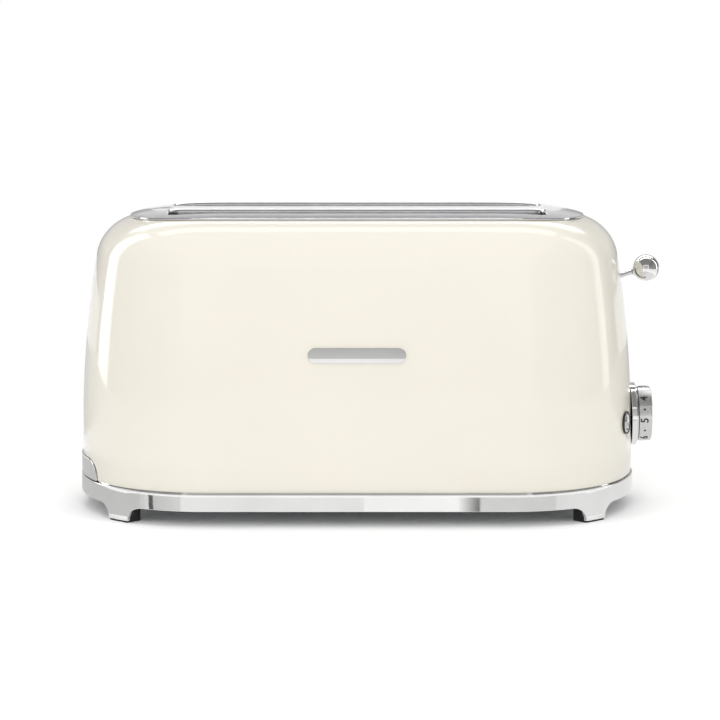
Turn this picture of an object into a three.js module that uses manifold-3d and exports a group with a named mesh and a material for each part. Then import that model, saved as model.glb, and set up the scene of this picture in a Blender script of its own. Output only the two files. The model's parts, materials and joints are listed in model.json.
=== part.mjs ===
// A retro toaster with two long slots, in millimetres with +Z up.
// The controls are at the +X end, the crumb tray comes out at the -X end and the front faces -Y.
// The pieces are worked out about the middle of the base band, and the group that holds them is
// then moved along X so that its origin is the middle of the whole footprint, on the worktop.

import * as THREE from "three";
import { ParametricGeometry } from "three/addons/geometries/ParametricGeometry.js";
import { mergeVertices } from "three/addons/utils/BufferGeometryUtils.js";
import Module from "manifold-3d";

// Fits
const GAP = 0.3; // between pieces that touch
const RUN = 0.4; // round a piece that slides or turns
const THROUGH = 1; // how far a cutter runs past what it cuts
const WELD = 1e-4; // how near two corners are when they are one corner

// Plan of the base band: an end arc, a corner arc and a straight side in each quarter
const BAND_HALF_LENGTH = 188;
const BAND_HALF_DEPTH = 101;
const CORNER_SETBACK = 16; // of the corner arcs' centres from the long centre line
const END_SWEEP = THREE.MathUtils.degToRad(27); // half the angle of an end arc
const CORNER_RADIUS = BAND_HALF_DEPTH - CORNER_SETBACK;
const END_RADIUS = CORNER_RADIUS + CORNER_SETBACK / Math.sin(END_SWEEP);
const END_CENTRE_X = BAND_HALF_LENGTH - END_RADIUS;
const CORNER_CENTRE_X = END_CENTRE_X + (END_RADIUS - CORNER_RADIUS) * Math.cos(END_SWEEP);
const END_STEPS = 3;
const CORNER_STEPS = 8;
const SIDE_STEPS = 2;

// Heights of the body
const RIM_Z = 201.3; // top of the slot rims
const SHOULDER_DROP = 31.3; // from the rims down to where the walls start to turn over
const SHOULDER_Z = RIM_Z - SHOULDER_DROP;
const WALL_UPRIGHT_Z = 40; // where the walls stand upright
const WALL_RADIUS = 800; // of the walls' long curve
const WALL_STEPS = 3;
const SHOULDER_STEPS = 5;
const END_SHOULDER_RADIUS = 32;
const SIDE_SHOULDER_RADIUS = 35;
const END_SHOULDER_TURN = THREE.MathUtils.degToRad(75);
const SIDE_SHOULDER_TURN = THREE.MathUtils.degToRad(75);
const SHELL_WALL = 1.2;
const SHELL_INSET = 0.9; // of the shell's foot from the band's face
const SEAM = 0.6; // dark line between the band and the shell

// Top plate and bread slots
const PLATE_THICKNESS = 1.2;
const PLATE_STEPS = 3;
const FLANGE_REACH = 0.3; // share of the plate's crown that rests on the shell
const SLOT_HALF_LENGTH = 126;
const SLOT_WIDTH = 34;
const SLOT_PITCH = 58;
const SLOT_CORNER = 8;
const SLOT_FLANGE_DEPTH = 13;
const SLOT_Y = SLOT_PITCH / 2;

// Base band, feet and base plate
const BAND_BOTTOM_Z = 10.7;
const BAND_TOP_Z = 22.5;
const BAND_EDGE = 0.6; // its small bevels
const BAND_WALL = 4.6;
const RIB_HEIGHT = 5.5; // of the rib that the shell fits round
const LEDGE_WIDTH = 8.4; // of the ledge that the base plate is screwed to
const LEDGE_THICKNESS = 2;
const BASE_PLATE_THICKNESS = 1.2;
const BASE_PLATE_TOP_Z = 14.7;
const FOOT_ANGLE = THREE.MathUtils.degToRad(46); // of the outline's normal at a foot
const FOOT_FLARE = 20.5; // half the width of a foot where it leaves the band
const FOOT_HALF_WIDTH = 9;
const FOOT_SKIN = 2.5;
const FOOT_BLOCK_DEPTH = 12;
const PAD_THICKNESS = 0.9;
const SCREW_ANGLE = THREE.MathUtils.degToRad(66);
const SCREW_SHANK = 1.7;
const SCREW_HEAD = 3.5;
const SCREW_HEAD_HEIGHT = 2;
const SCREW_REACH = 3.2; // of the shank above the base plate

// Chassis
const CHASSIS_SPACE = 9.5; // from the end of a slot to the chassis wall
const CHASSIS_SHEET = 1;
const CHASSIS_HALF_WIDTH = 72;
const CHASSIS_TOP_Z = SHOULDER_Z + 6;
const CHASSIS_X = SLOT_HALF_LENGTH + CHASSIS_SPACE; // inner face of each chassis wall
const CHASSIS_BOTTOM_Z = BASE_PLATE_TOP_Z + GAP;
const CHASSIS_OUTER_X = CHASSIS_X + CHASSIS_SHEET;
const TOASTING_TOP_Z = SHOULDER_Z + 2; // top of the heaters and guides
const TIE_BAR_HALF_WIDTH = 3.5;
const TIE_BAR_HEIGHT = 6;
const REFLECTOR_SPACE = 8; // from an outer heater board to its reflector
const REFLECTOR_SHEET = 0.8;

// Controls on the +X end
const DIAL_Z = 60.2;
const DIAL_RADIUS = 18.75;
const DIAL_DEPTH = 9;
const BEZEL_RADIUS = 21.3;
const BEZEL_DEPTH = 4;
const BEZEL_STEP = 0.9;
const BEZEL_SUNK = 3; // depth of the bezel's rim behind the end wall's crown
const BEZEL_BOSS_RADIUS = 9;
const BEZEL_BOSS_DEPTH = 10;
const DIAL_GAP = 0.5;
const SHAFT_RADIUS = 3;
const ROUND_EDGE = 0.7;
const BOARD_SETBACK = 24.3; // of the control board behind the end wall
const BOARD_THICKNESS = 1.6;
const BOARD_HALF_WIDTH = 50;
const BOARD_ABOVE_DIAL = 24;
const POTENTIOMETER_RADIUS = 8.5;
const BUTTON_Y = 40;
const BUTTON_RADIUS = 6.6;
const BUTTON_TRAVEL = 1.6;
const BUTTON_BODY = 8; // depth of the button behind the wall
const BUTTON_PROUD = 1.2;
const BUTTON_STEM_RADIUS = 2;
const BUTTON_RIM = 0.85;
const SWITCH_HEIGHT = 3.5;
const SWITCH_WIDTH = 6.5;

// Lever, carriage and lift
const LEVER_BELOW_SHOULDER = 15; // of the stem where it leaves the shell
const LEVER_RISE = THREE.MathUtils.degToRad(17);
const LEVER_RADIUS = 1.5;
const BALL_RADIUS = 9;
const BALL_CENTRE_OUT = 17.3; // of the ball's centre beyond the end wall
const LEVER_ABOVE_BEZEL = 18.5; // of the stem over the bezel when pressed right down
const LEVER_SLOT_WIDTH = 5;
const LEVER_SLOT_SPARE = 5; // past the stem's centre at each end of its travel
const TRIM_BORDER = 4;
const TRIM_SHEET = 1.5;
const CARRIAGE_SPACE = 18.5; // from the chassis wall to the carriage plate
const CARRIAGE_SHEET = 1.5;
const CARRIAGE_HALF_WIDTH = 22;
const ROD_Y = -16;
const ROD_RADIUS = 2.5;
const ROD_SPACE = 13; // from the chassis wall to the rod and the lift spring
const SLEEVE_WALL = 3;
const SPRING_RADIUS = 3.6;
const SPRING_WIRE = 0.5;
const SPRING_TURNS = 9;
const SPRING_STEPS = 9; // in each turn
const TAB_THICKNESS = 1.5;
const RACK_HEIGHT = 8;
const RACK_THICKNESS = 2;
const RACK_HALF_WIDTH = 7;
const RACK_BARS = 9;
const RACK_BAR_WIDTH = 3;
const RACK_TOP_BELOW_RIM = 81.3;
const CROSSBAR_THICKNESS = 2;
const LATCH_THICKNESS = 2;
const LATCH_HALF_WIDTH = 12;
const MAGNET_DEPTH = 14;
const MAGNET_HEIGHT = 22;
const MAGNET_LEG = 5;
const MAGNET_POST_RADIUS = 2.6;

// Toasting parts
const HEATER_OFFSET = 21; // of a heater board from its slot's centre
const MICA_SHEET = 1;
const HEATER_ABOVE_TRAY = 31.1;
const HEATER_MARGIN = 12;
const RIBBON_WIDTH = 1.6;
const RIBBON_SHEET = 0.3;
const RIBBON_ROWS = 8;
const GUIDE_OFFSET = 15; // of a bread guide from its slot's centre
const GUIDE_SHEET = 1.8;
const GUIDE_ABOVE_TRAY = 29.1;
const GUIDE_BAR = 3;
const GUIDE_WINDOWS = 9;

// Crumb tray
const TRAY_HALF_WIDTH = 50;
const TRAY_HEIGHT = 8;
const TRAY_SHEET = 1;
const ARCH_HALF_WIDTH = 56;
const ARCH_SHOULDER_HALF_WIDTH = 52.5;
const ARCH_TOP_HALF_WIDTH = 42;
const ARCH_HEIGHT = 13.2;
const ARCH_PROUD = 0.7;

// Mains parts, on the base plate behind the tray
const TERMINAL_X = -80;
const TERMINAL_Y = 66;
const TERMINAL_SIZE = [26, 14, 13];
const GLAND_X = -112;
const GLAND_RADIUS = 6;
const GLAND_BORE = 3.8;
const GLAND_LIP = 2.5;
const CLEAT_SIZE = [8, 16, 7];
const SWITCH_BLOCK_SIZE = [15, 20, 21];

// Front badge, a plain bar with round ends
const BADGE_HALF_LENGTH = 32;
const BADGE_HALF_HEIGHT = 5;
const BADGE_THICKNESS = 1;
const BADGE_Z = 113;

// Worked out from the sizes above
const SHELL_BOTTOM_Z = BAND_TOP_Z + SEAM;
const WALL_STRIP = (SHOULDER_Z - SHELL_BOTTOM_Z) / WALL_STEPS;
const WALL_FACET = WALL_STRIP ** 2 / (8 * WALL_RADIUS); // the wall's flat strips lie this far in
const LEVER_WALL_Z = SHOULDER_Z - LEVER_BELOW_SHOULDER;
const LEVER_TRAVEL = LEVER_WALL_Z - (DIAL_Z + BEZEL_RADIUS + LEVER_ABOVE_BEZEL);
const RACK_TOP_Z = RIM_Z - RACK_TOP_BELOW_RIM;
const CROSSBAR_Z = RACK_TOP_Z + GAP;
const LATCH_BOTTOM_Z = CROSSBAR_Z - GAP - LATCH_THICKNESS;
const MAGNET_TOP_Z = LATCH_BOTTOM_Z - LEVER_TRAVEL - RUN;
const CARRIAGE_X = CHASSIS_OUTER_X + CARRIAGE_SPACE;
const ROD_X = CHASSIS_OUTER_X + ROD_SPACE;
const UPPER_TAB_Z = SHOULDER_Z - TAB_THICKNESS;
const LOWER_TAB_Z = CHASSIS_BOTTOM_Z + 15;
const TRAY_BOTTOM_Z = BAND_TOP_Z + RUN;
const TRAY_TOP_Z = TRAY_BOTTOM_Z + TRAY_HEIGHT;
const HEATER_HEIGHT = TOASTING_TOP_Z - TRAY_TOP_Z - HEATER_ABOVE_TRAY;
const GUIDE_HEIGHT = TOASTING_TOP_Z - TRAY_TOP_Z - GUIDE_ABOVE_TRAY;
const TRAY_END_X = CHASSIS_OUTER_X + CHASSIS_SHEET;
const ARCH_BOTTOM_Z = SHELL_BOTTOM_Z;
const LEDGE_BOTTOM_Z = BASE_PLATE_TOP_Z + GAP;
const INSIDE = BAND_WALL + LEDGE_WIDTH;

const wasm = await Module();
wasm.setup();

const enamel = new THREE.MeshStandardMaterial({ color: 0xf4eedd, roughness: 0.18, metalness: 0 });
const chrome = new THREE.MeshStandardMaterial({ color: 0xd8d8d6, roughness: 0.08, metalness: 1 });
const polished = new THREE.MeshStandardMaterial({ color: 0xc9cac9, roughness: 0.2, metalness: 1 });
const steel = new THREE.MeshStandardMaterial({ color: 0xa9acae, roughness: 0.4, metalness: 1 });
const iron = new THREE.MeshStandardMaterial({ color: 0x6f7275, roughness: 0.55, metalness: 1 });
const copper = new THREE.MeshStandardMaterial({ color: 0xa8592f, roughness: 0.4, metalness: 1 });
const ribbon = new THREE.MeshStandardMaterial({ color: 0x7d6f66, roughness: 0.5, metalness: 1 });
const mica = new THREE.MeshStandardMaterial({ color: 0xb9ab8c, roughness: 0.7, metalness: 0 });
const rubber = new THREE.MeshStandardMaterial({ color: 0x1d1d1e, roughness: 0.8, metalness: 0 });
const plastic = new THREE.MeshStandardMaterial({ color: 0x19191a, roughness: 0.4, metalness: 0 });
const board = new THREE.MeshStandardMaterial({ color: 0x1f5b38, roughness: 0.5, metalness: 0 });

// --- Solids -------------------------------------------------------------------------------------

// A closed three.js geometry as a solid that can be cut and joined.
function solidOf(geometry) {
  const bare = new THREE.BufferGeometry();
  const loose = geometry.index ? geometry.toNonIndexed() : geometry;
  bare.setAttribute("position", loose.getAttribute("position"));
  const merged = mergeVertices(bare, WELD);
  const mesh = new wasm.Mesh({
    numProp: 3,
    vertProperties: merged.attributes.position.array,
    triVerts: new Uint32Array(merged.index.array),
  });
  return new wasm.Manifold(mesh);
}

// A solid as a three.js geometry.
function geometryOf(solid) {
  const mesh = solid.getMesh();
  const geometry = new THREE.BufferGeometry();
  geometry.setAttribute("position", new THREE.BufferAttribute(mesh.vertProperties, 3));
  geometry.setIndex(new THREE.BufferAttribute(mesh.triVerts, 1));
  return geometry;
}

function cut(body, ...tools) {
  return geometryOf(tools.reduce((left, tool) => left.subtract(solidOf(tool)), solidOf(body)));
}

function join(first, ...others) {
  return geometryOf(others.reduce((sum, other) => sum.add(solidOf(other)), solidOf(first)));
}

function overlap(a, b) {
  return geometryOf(solidOf(a).intersect(solidOf(b)));
}

function box([x0, x1], [y0, y1], [z0, z1]) {
  const geometry = new THREE.BoxGeometry(x1 - x0, y1 - y0, z1 - z0);
  return geometry.translate((x0 + x1) / 2, (y0 + y1) / 2, (z0 + z1) / 2);
}

// A span of the given length about a middle.
function about(middle, length) {
  return [middle - length / 2, middle + length / 2];
}

// An upright round bar between two heights.
function bar(radius, x, y, [z0, z1], sides) {
  const geometry = new THREE.CylinderGeometry(radius, radius, z1 - z0, sides);
  return geometry.rotateX(Math.PI / 2).translate(x, y, (z0 + z1) / 2);
}

// A solid turned about +X. Its profile is a list of [radius, distance along X], against the clock.
function turnedAboutX(profile, sides) {
  const points = profile.map(([radius, along]) => new THREE.Vector2(radius, along));
  const geometry = new THREE.LatheGeometry(points, sides);
  return geometry.rotateZ(-Math.PI / 2);
}

// A shape drawn in Y and Z, pushed along X between two places.
function pushedAlongX(shape, [x0, x1], curveSteps) {
  const options = { depth: x1 - x0, bevelEnabled: false, curveSegments: curveSteps };
  const geometry = new THREE.ExtrudeGeometry(shape, options);
  const turned = new THREE.Matrix4().makeBasis(
    new THREE.Vector3(0, 1, 0),
    new THREE.Vector3(0, 0, 1),
    new THREE.Vector3(1, 0, 0),
  );
  return geometry.applyMatrix4(turned).translate(x0, 0, 0);
}

// A rectangle with round corners about the origin of its drawing plane.
function roundedRectangle(halfLength, halfWidth, radius) {
  const shape = new THREE.Shape();
  shape.absarc(halfLength - radius, halfWidth - radius, radius, 0, Math.PI / 2);
  shape.absarc(radius - halfLength, halfWidth - radius, radius, Math.PI / 2, Math.PI);
  shape.absarc(radius - halfLength, radius - halfWidth, radius, Math.PI, 1.5 * Math.PI);
  shape.absarc(halfLength - radius, radius - halfWidth, radius, 1.5 * Math.PI, 2 * Math.PI);
  shape.closePath();
  return shape;
}

// --- The body's outline and its rings -------------------------------------------------------------

// One quarter of the outline, from the +X end to the middle of the +Y side: points with normals.
function quarterOutline() {
  const points = [];
  for (let i = 0; i < END_STEPS; i++) {
    const turn = (END_SWEEP * i) / END_STEPS;
    points.push(arcPoint(END_CENTRE_X, 0, END_RADIUS, turn));
  }
  for (let i = 0; i < CORNER_STEPS; i++) {
    const turn = END_SWEEP + ((Math.PI / 2 - END_SWEEP) * i) / CORNER_STEPS;
    points.push(arcPoint(CORNER_CENTRE_X, CORNER_SETBACK, CORNER_RADIUS, turn));
  }
  for (let i = 0; i < SIDE_STEPS; i++) {
    const x = CORNER_CENTRE_X * (1 - i / SIDE_STEPS);
    points.push({ x, y: BAND_HALF_DEPTH, nx: 0, ny: 1 });
  }
  return points;
}

function arcPoint(centreX, centreY, radius, turn) {
  const nx = Math.cos(turn);
  const ny = Math.sin(turn);
  return { x: centreX + radius * nx, y: centreY + radius * ny, nx, ny };
}

// The whole outline of the band, against the clock from the +X end.
function wholeOutline() {
  const quarter = quarterOutline();
  const back = quarter.map((p) => ({ x: -p.x, y: p.y, nx: -p.nx, ny: p.ny }));
  const middle = { x: 0, y: BAND_HALF_DEPTH, nx: 0, ny: 1 };
  const half = [...quarter, middle, ...back.slice(1).reverse()];
  const end = { x: -BAND_HALF_LENGTH, y: 0, nx: -1, ny: 0 };
  const front = half.slice(1).map((p) => ({ x: p.x, y: -p.y, nx: p.nx, ny: -p.ny }));
  return [...half, end, ...front.reverse()];
}

const OUTLINE = wholeOutline();

// The outline's point that is nearest to having a normal at this angle, on the exact curve.
function outlineAt(turn) {
  if (turn < END_SWEEP) return arcPoint(END_CENTRE_X, 0, END_RADIUS, turn);
  return arcPoint(CORNER_CENTRE_X, CORNER_SETBACK, CORNER_RADIUS, turn);
}

function wallInset(z) {
  const rise = z - WALL_UPRIGHT_Z;
  return SHELL_INSET + WALL_RADIUS - Math.sqrt(WALL_RADIUS ** 2 - rise ** 2);
}

// The tilt of the end wall's face from upright at a height.
function wallTilt(z) {
  return Math.asin((z - WALL_UPRIGHT_Z) / WALL_RADIUS);
}

function insetPoint(p, inset, z) {
  return new THREE.Vector3(p.x - inset * p.nx, p.y - inset * p.ny, z);
}

// A ring at one inset from the band's face and one height.
function levelRing(inset, z) {
  return OUTLINE.map((p) => insetPoint(p, inset, z));
}

function centreRing(z) {
  return OUTLINE.map(() => new THREE.Vector3(0, 0, z));
}

function mix(end, side, share) {
  return end + (side - end) * share;
}

// A point on the shoulder: share 0 is where the wall ends, share 1 where the top plate starts,
// and depth is how far it lies inside the shell's face.
function shoulderPoint(p, share, depth) {
  const side = p.ny ** 2;
  const radius = mix(END_SHOULDER_RADIUS, SIDE_SHOULDER_RADIUS, side);
  const first = wallTilt(SHOULDER_Z);
  const last = mix(END_SHOULDER_TURN, SIDE_SHOULDER_TURN, side);
  const turn = mix(first, last, share);
  const inset = wallInset(SHOULDER_Z) + radius * (Math.cos(first) - Math.cos(turn));
  const z = SHOULDER_Z + radius * (Math.sin(turn) - Math.sin(first));
  return insetPoint(p, inset + depth * Math.cos(turn), z - depth * Math.sin(turn));
}

const PLATE_HALF_LENGTH = shoulderPoint(outlineAt(0), 1, 0).x;
const PLATE_HALF_DEPTH = shoulderPoint(outlineAt(Math.PI / 2), 1, 0).y;
const CREST_X_SHARE = SLOT_HALF_LENGTH / PLATE_HALF_LENGTH;
const CREST_Y_SHARE = (SLOT_Y + SLOT_WIDTH / 2) / PLATE_HALF_DEPTH;

// A point on the top plate's crown: share 0 is its edge and share 1 the level middle.
function crownPoint(p, share, drop) {
  const edge = shoulderPoint(p, 1, 0);
  const edgeZ = edge.z + GAP + PLATE_THICKNESS;
  const z = mix(edgeZ, RIM_Z, 1 - (1 - share) ** 2);
  return new THREE.Vector3(
    edge.x * mix(1, CREST_X_SHARE, share),
    edge.y * mix(1, CREST_Y_SHARE, share),
    z - drop,
  );
}

function crownRing(share, drop) {
  return OUTLINE.map((p) => crownPoint(p, share, drop));
}

// Numbers from 0 to 1 in equal steps.
function shares(steps) {
  return Array.from({ length: steps + 1 }, (_, i) => i / steps);
}

// A skin through rings of points, each ring going once round the body.
function skin(rings) {
  const surface = (u, v, target) => {
    const ring = rings[Math.round(v * (rings.length - 1))];
    target.copy(ring[Math.round(u * OUTLINE.length) % OUTLINE.length]);
  };
  return new ParametricGeometry(surface, OUTLINE.length, rings.length - 1);
}

// A plate or block that fills the outline at one inset between two heights.
function fill(inset, [z0, z1]) {
  return skin([centreRing(z0), levelRing(inset, z0), levelRing(inset, z1), centreRing(z1)]);
}

// A closed band round the body whose section is a list of [inset, height].
function bandOf(section) {
  const rings = section.map(([inset, z]) => levelRing(inset, z));
  return skin([...rings, rings[0]]);
}

function uprightBand(outer, inner, [z0, z1]) {
  return bandOf([[outer, z0], [outer, z1], [inner, z1], [inner, z0]]);
}

// --- Casing -----------------------------------------------------------------------------------------

function wallRings(depth) {
  return shares(WALL_STEPS).map((share) => {
    const z = mix(SHELL_BOTTOM_Z, SHOULDER_Z, share);
    return levelRing(wallInset(z) + depth, z);
  });
}

function shoulderRings(depth) {
  const rings = shares(SHOULDER_STEPS).slice(1);
  return rings.map((share) => OUTLINE.map((p) => shoulderPoint(p, share, depth)));
}

// The deep drawn shell, from its foot round the band's rib to the lip under the top plate.
function bodyShell() {
  const lipDrop = GAP + PLATE_THICKNESS;
  const outside = [...wallRings(0), ...shoulderRings(0), crownRing(FLANGE_REACH, lipDrop)];
  const inside = [...wallRings(SHELL_WALL), ...shoulderRings(SHELL_WALL)];
  const lip = crownRing(FLANGE_REACH, lipDrop + SHELL_WALL);
  const whole = skin([...outside, lip, ...inside.reverse(), outside[0]]);
  return cut(whole, leverSlotCutter(), bezelHoleCutter(), buttonHoleCutter(-1), buttonHoleCutter(1),
    archCutter());
}

// The space under the crown lowered by a drop, down to the foot of the slot flanges.
function underCrown(drop) {
  const foot = RIM_Z - SLOT_FLANGE_DEPTH;
  const top = shares(PLATE_STEPS).map((share) => crownRing(share, drop));
  const base = top[0].map((v) => new THREE.Vector3(v.x, v.y, foot));
  return skin([centreRing(foot), base, ...top, centreRing(RIM_Z - drop)]);
}

function slotPrism(y, extra) {
  const shape = roundedRectangle(SLOT_HALF_LENGTH + extra, SLOT_WIDTH / 2 + extra, SLOT_CORNER + extra);
  const depth = SLOT_FLANGE_DEPTH + 2 * THROUGH;
  const options = { depth, bevelEnabled: false, curveSegments: 4 };
  const prism = new THREE.ExtrudeGeometry(shape, options);
  return prism.translate(0, y, RIM_Z + THROUGH - depth);
}

// The polished crown with a flange turned down round each bread slot.
function topPlate() {
  const below = shares(PLATE_STEPS).reverse().map((share) => crownRing(share, PLATE_THICKNESS));
  const above = shares(PLATE_STEPS).map((share) => crownRing(share, 0));
  const caps = [centreRing(RIM_Z - PLATE_THICKNESS), centreRing(RIM_Z)];
  const crown = skin([caps[0], ...below, ...above, caps[1]]);
  const inner = underCrown(PLATE_THICKNESS / 2);
  const flanges = [-SLOT_Y, SLOT_Y].map((y) => overlap(slotPrism(y, PLATE_THICKNESS), inner));
  return cut(join(crown, ...flanges), slotPrism(-SLOT_Y, 0), slotPrism(SLOT_Y, 0));
}

// --- Base -------------------------------------------------------------------------------------------

const QUARTERS = [
  ["right_front", 1, -1],
  ["right_rear", 1, 1],
  ["left_front", -1, -1],
  ["left_rear", -1, 1],
];

// A flared foot's outline across its width, with a concave curve up to the band on each side.
function footShape() {
  const z = PAD_THICKNESS + GAP;
  const across = FOOT_FLARE - FOOT_HALF_WIDTH;
  const up = BAND_BOTTOM_Z - z;
  const shape = new THREE.Shape();
  shape.moveTo(-FOOT_HALF_WIDTH, z);
  shape.lineTo(FOOT_HALF_WIDTH, z);
  shape.absellipse(FOOT_FLARE, z, across, up, Math.PI, Math.PI / 2, true);
  shape.lineTo(FOOT_FLARE, BAND_BOTTOM_Z + BAND_EDGE);
  shape.lineTo(-FOOT_FLARE, BAND_BOTTOM_Z + BAND_EDGE);
  shape.absellipse(-FOOT_FLARE, z, across, up, Math.PI / 2, 0, true);
  return shape;
}

// Turns a solid that lies across the +X direction to face the way a foot does.
function atFoot(geometry, [, right, rear]) {
  const p = outlineAt(FOOT_ANGLE);
  const turn = Math.atan2(rear * p.ny, right * p.nx);
  return geometry.rotateZ(turn).translate(right * p.x, rear * p.y, 0);
}

function footSkin(quarter) {
  const reach = [-2 * FOOT_BLOCK_DEPTH, FOOT_BLOCK_DEPTH];
  const prism = atFoot(pushedAlongX(footShape(), reach, 4), quarter);
  const top = BAND_BOTTOM_Z + BAND_EDGE;
  return overlap(uprightBand(0, FOOT_SKIN, [PAD_THICKNESS, top + THROUGH]), prism);
}

// The rubber block behind a foot's metal skin, with the pad that the toaster stands on.
function footPad(quarter) {
  const reach = [-2 * FOOT_BLOCK_DEPTH, FOOT_BLOCK_DEPTH];
  const width = about(0, 2 * FOOT_HALF_WIDTH - 2 * GAP);
  const prism = () => atFoot(box(reach, width, [0, BAND_BOTTOM_Z]), quarter);
  const block = uprightBand(FOOT_SKIN + GAP, FOOT_BLOCK_DEPTH, [0, BAND_BOTTOM_Z - GAP]);
  const pad = uprightBand(BAND_EDGE, FOOT_BLOCK_DEPTH, [0, PAD_THICKNESS]);
  return join(overlap(block, prism()), overlap(pad, prism()));
}

function screwPlace(right, rear) {
  const p = outlineAt(SCREW_ANGLE);
  const inset = BAND_WALL + LEDGE_WIDTH / 2;
  return [right * (p.x - inset * p.nx), rear * (p.y - inset * p.ny)];
}

function screwHoles() {
  const bottom = BASE_PLATE_TOP_Z - BASE_PLATE_THICKNESS - THROUGH;
  const top = LEDGE_BOTTOM_Z + LEDGE_THICKNESS + THROUGH;
  return QUARTERS.map(([, right, rear]) => {
    const [x, y] = screwPlace(right, rear);
    return bar(SCREW_SHANK + GAP, x, y, [bottom, top], 12);
  });
}

// The polished band that the shell stands on, with its ledge, its rib and four feet in one casting.
function baseFrame() {
  const rib = SHELL_INSET + SHELL_WALL + GAP;
  const section = [
    [BAND_EDGE, BAND_BOTTOM_Z],
    [0, BAND_BOTTOM_Z + BAND_EDGE],
    [0, BAND_TOP_Z - BAND_EDGE],
    [BAND_EDGE, BAND_TOP_Z],
    [rib, BAND_TOP_Z],
    [rib, BAND_TOP_Z + RIB_HEIGHT],
    [BAND_WALL, BAND_TOP_Z + RIB_HEIGHT],
    [BAND_WALL, LEDGE_BOTTOM_Z + LEDGE_THICKNESS],
    [INSIDE, LEDGE_BOTTOM_Z + LEDGE_THICKNESS],
    [INSIDE, LEDGE_BOTTOM_Z],
    [BAND_WALL, LEDGE_BOTTOM_Z],
    [BAND_WALL, BAND_BOTTOM_Z],
  ];
  const solid = join(bandOf(section), ...QUARTERS.map(footSkin));
  const width = about(0, 2 * (ARCH_HALF_WIDTH + RUN));
  const height = [BAND_TOP_Z, BAND_TOP_Z + RIB_HEIGHT + THROUGH];
  const trayGap = box([-BAND_HALF_LENGTH - THROUGH, 0], width, height);
  return cut(solid, trayGap, ...screwHoles());
}

const VENT_ROWS = 5;
const VENT_PITCH = 22;
const VENT_WIDTH = 4;
const VENT_HALF_LENGTH = 60;

function basePlate() {
  const bottom = BASE_PLATE_TOP_Z - BASE_PLATE_THICKNESS;
  const plate = fill(BAND_WALL + GAP, [bottom, BASE_PLATE_TOP_Z]);
  const through = [bottom - THROUGH, BASE_PLATE_TOP_Z + THROUGH];
  const vents = shares(VENT_ROWS - 1).map((share) => {
    const y = (share - 0.5) * (VENT_ROWS - 1) * VENT_PITCH;
    return box([-VENT_HALF_LENGTH, VENT_HALF_LENGTH], about(y, VENT_WIDTH), through);
  });
  const gland = bar(GLAND_RADIUS + GAP, GLAND_X, TERMINAL_Y, through, 20);
  return cut(plate, ...vents, gland, ...screwHoles());
}

function baseScrew(right, rear) {
  const [x, y] = screwPlace(right, rear);
  const seat = BASE_PLATE_TOP_Z - BASE_PLATE_THICKNESS - GAP;
  const head = bar(SCREW_HEAD, x, y, [seat - SCREW_HEAD_HEIGHT, seat], 16);
  const shank = bar(SCREW_SHANK, x, y, [seat - THROUGH, BASE_PLATE_TOP_Z + SCREW_REACH], 12);
  return join(head, shank);
}

// --- Crumb tray -------------------------------------------------------------------------------------

// The low arch of the tray's front, wider by a clearance all round when it is used as a cutter.
function archShape(extra) {
  const top = ARCH_BOTTOM_Z + ARCH_HEIGHT + extra;
  const shoulder = mix(ARCH_BOTTOM_Z, top, 0.5);
  const shape = new THREE.Shape();
  shape.moveTo(-ARCH_HALF_WIDTH - extra, ARCH_BOTTOM_Z - extra);
  shape.lineTo(ARCH_HALF_WIDTH + extra, ARCH_BOTTOM_Z - extra);
  shape.lineTo(ARCH_SHOULDER_HALF_WIDTH + extra, shoulder);
  shape.quadraticCurveTo(mix(ARCH_SHOULDER_HALF_WIDTH, ARCH_TOP_HALF_WIDTH, 0.25), top,
    ARCH_TOP_HALF_WIDTH, top);
  shape.lineTo(-ARCH_TOP_HALF_WIDTH, top);
  shape.quadraticCurveTo(-mix(ARCH_SHOULDER_HALF_WIDTH, ARCH_TOP_HALF_WIDTH, 0.25), top,
    -ARCH_SHOULDER_HALF_WIDTH - extra, shoulder);
  return shape;
}

function archCutter() {
  return pushedAlongX(archShape(RUN), [-BAND_HALF_LENGTH - THROUGH, -SLOT_HALF_LENGTH], 5);
}

function crumbTrayFront() {
  const inner = SHELL_INSET + SHELL_WALL + THROUGH;
  const height = [ARCH_BOTTOM_Z - THROUGH, ARCH_BOTTOM_Z + ARCH_HEIGHT + THROUGH];
  const wall = uprightBand(SHELL_INSET - ARCH_PROUD, inner, height);
  const arch = pushedAlongX(archShape(0), [-BAND_HALF_LENGTH - THROUGH, -SLOT_HALF_LENGTH], 5);
  return overlap(wall, arch);
}

// The tray, with its front end following the curved front.
function crumbTray() {
  const inset = SHELL_INSET + SHELL_WALL + THROUGH + GAP;
  const width = [-TRAY_HALF_WIDTH, TRAY_HALF_WIDTH];
  const solid = box([-BAND_HALF_LENGTH, TRAY_END_X], width, [TRAY_BOTTOM_Z, TRAY_TOP_Z]);
  const whole = overlap(solid, fill(inset, [TRAY_BOTTOM_Z - THROUGH, TRAY_TOP_Z + THROUGH]));
  const room = box([-BAND_HALF_LENGTH, TRAY_END_X - TRAY_SHEET],
    [TRAY_SHEET - TRAY_HALF_WIDTH, TRAY_HALF_WIDTH - TRAY_SHEET],
    [TRAY_BOTTOM_Z + TRAY_SHEET, TRAY_TOP_Z + THROUGH]);
  const hollow = overlap(room, fill(inset + TRAY_SHEET, [TRAY_BOTTOM_Z, TRAY_TOP_Z + 2 * THROUGH]));
  return cut(whole, hollow);
}

// --- Controls ---------------------------------------------------------------------------------------

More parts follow.
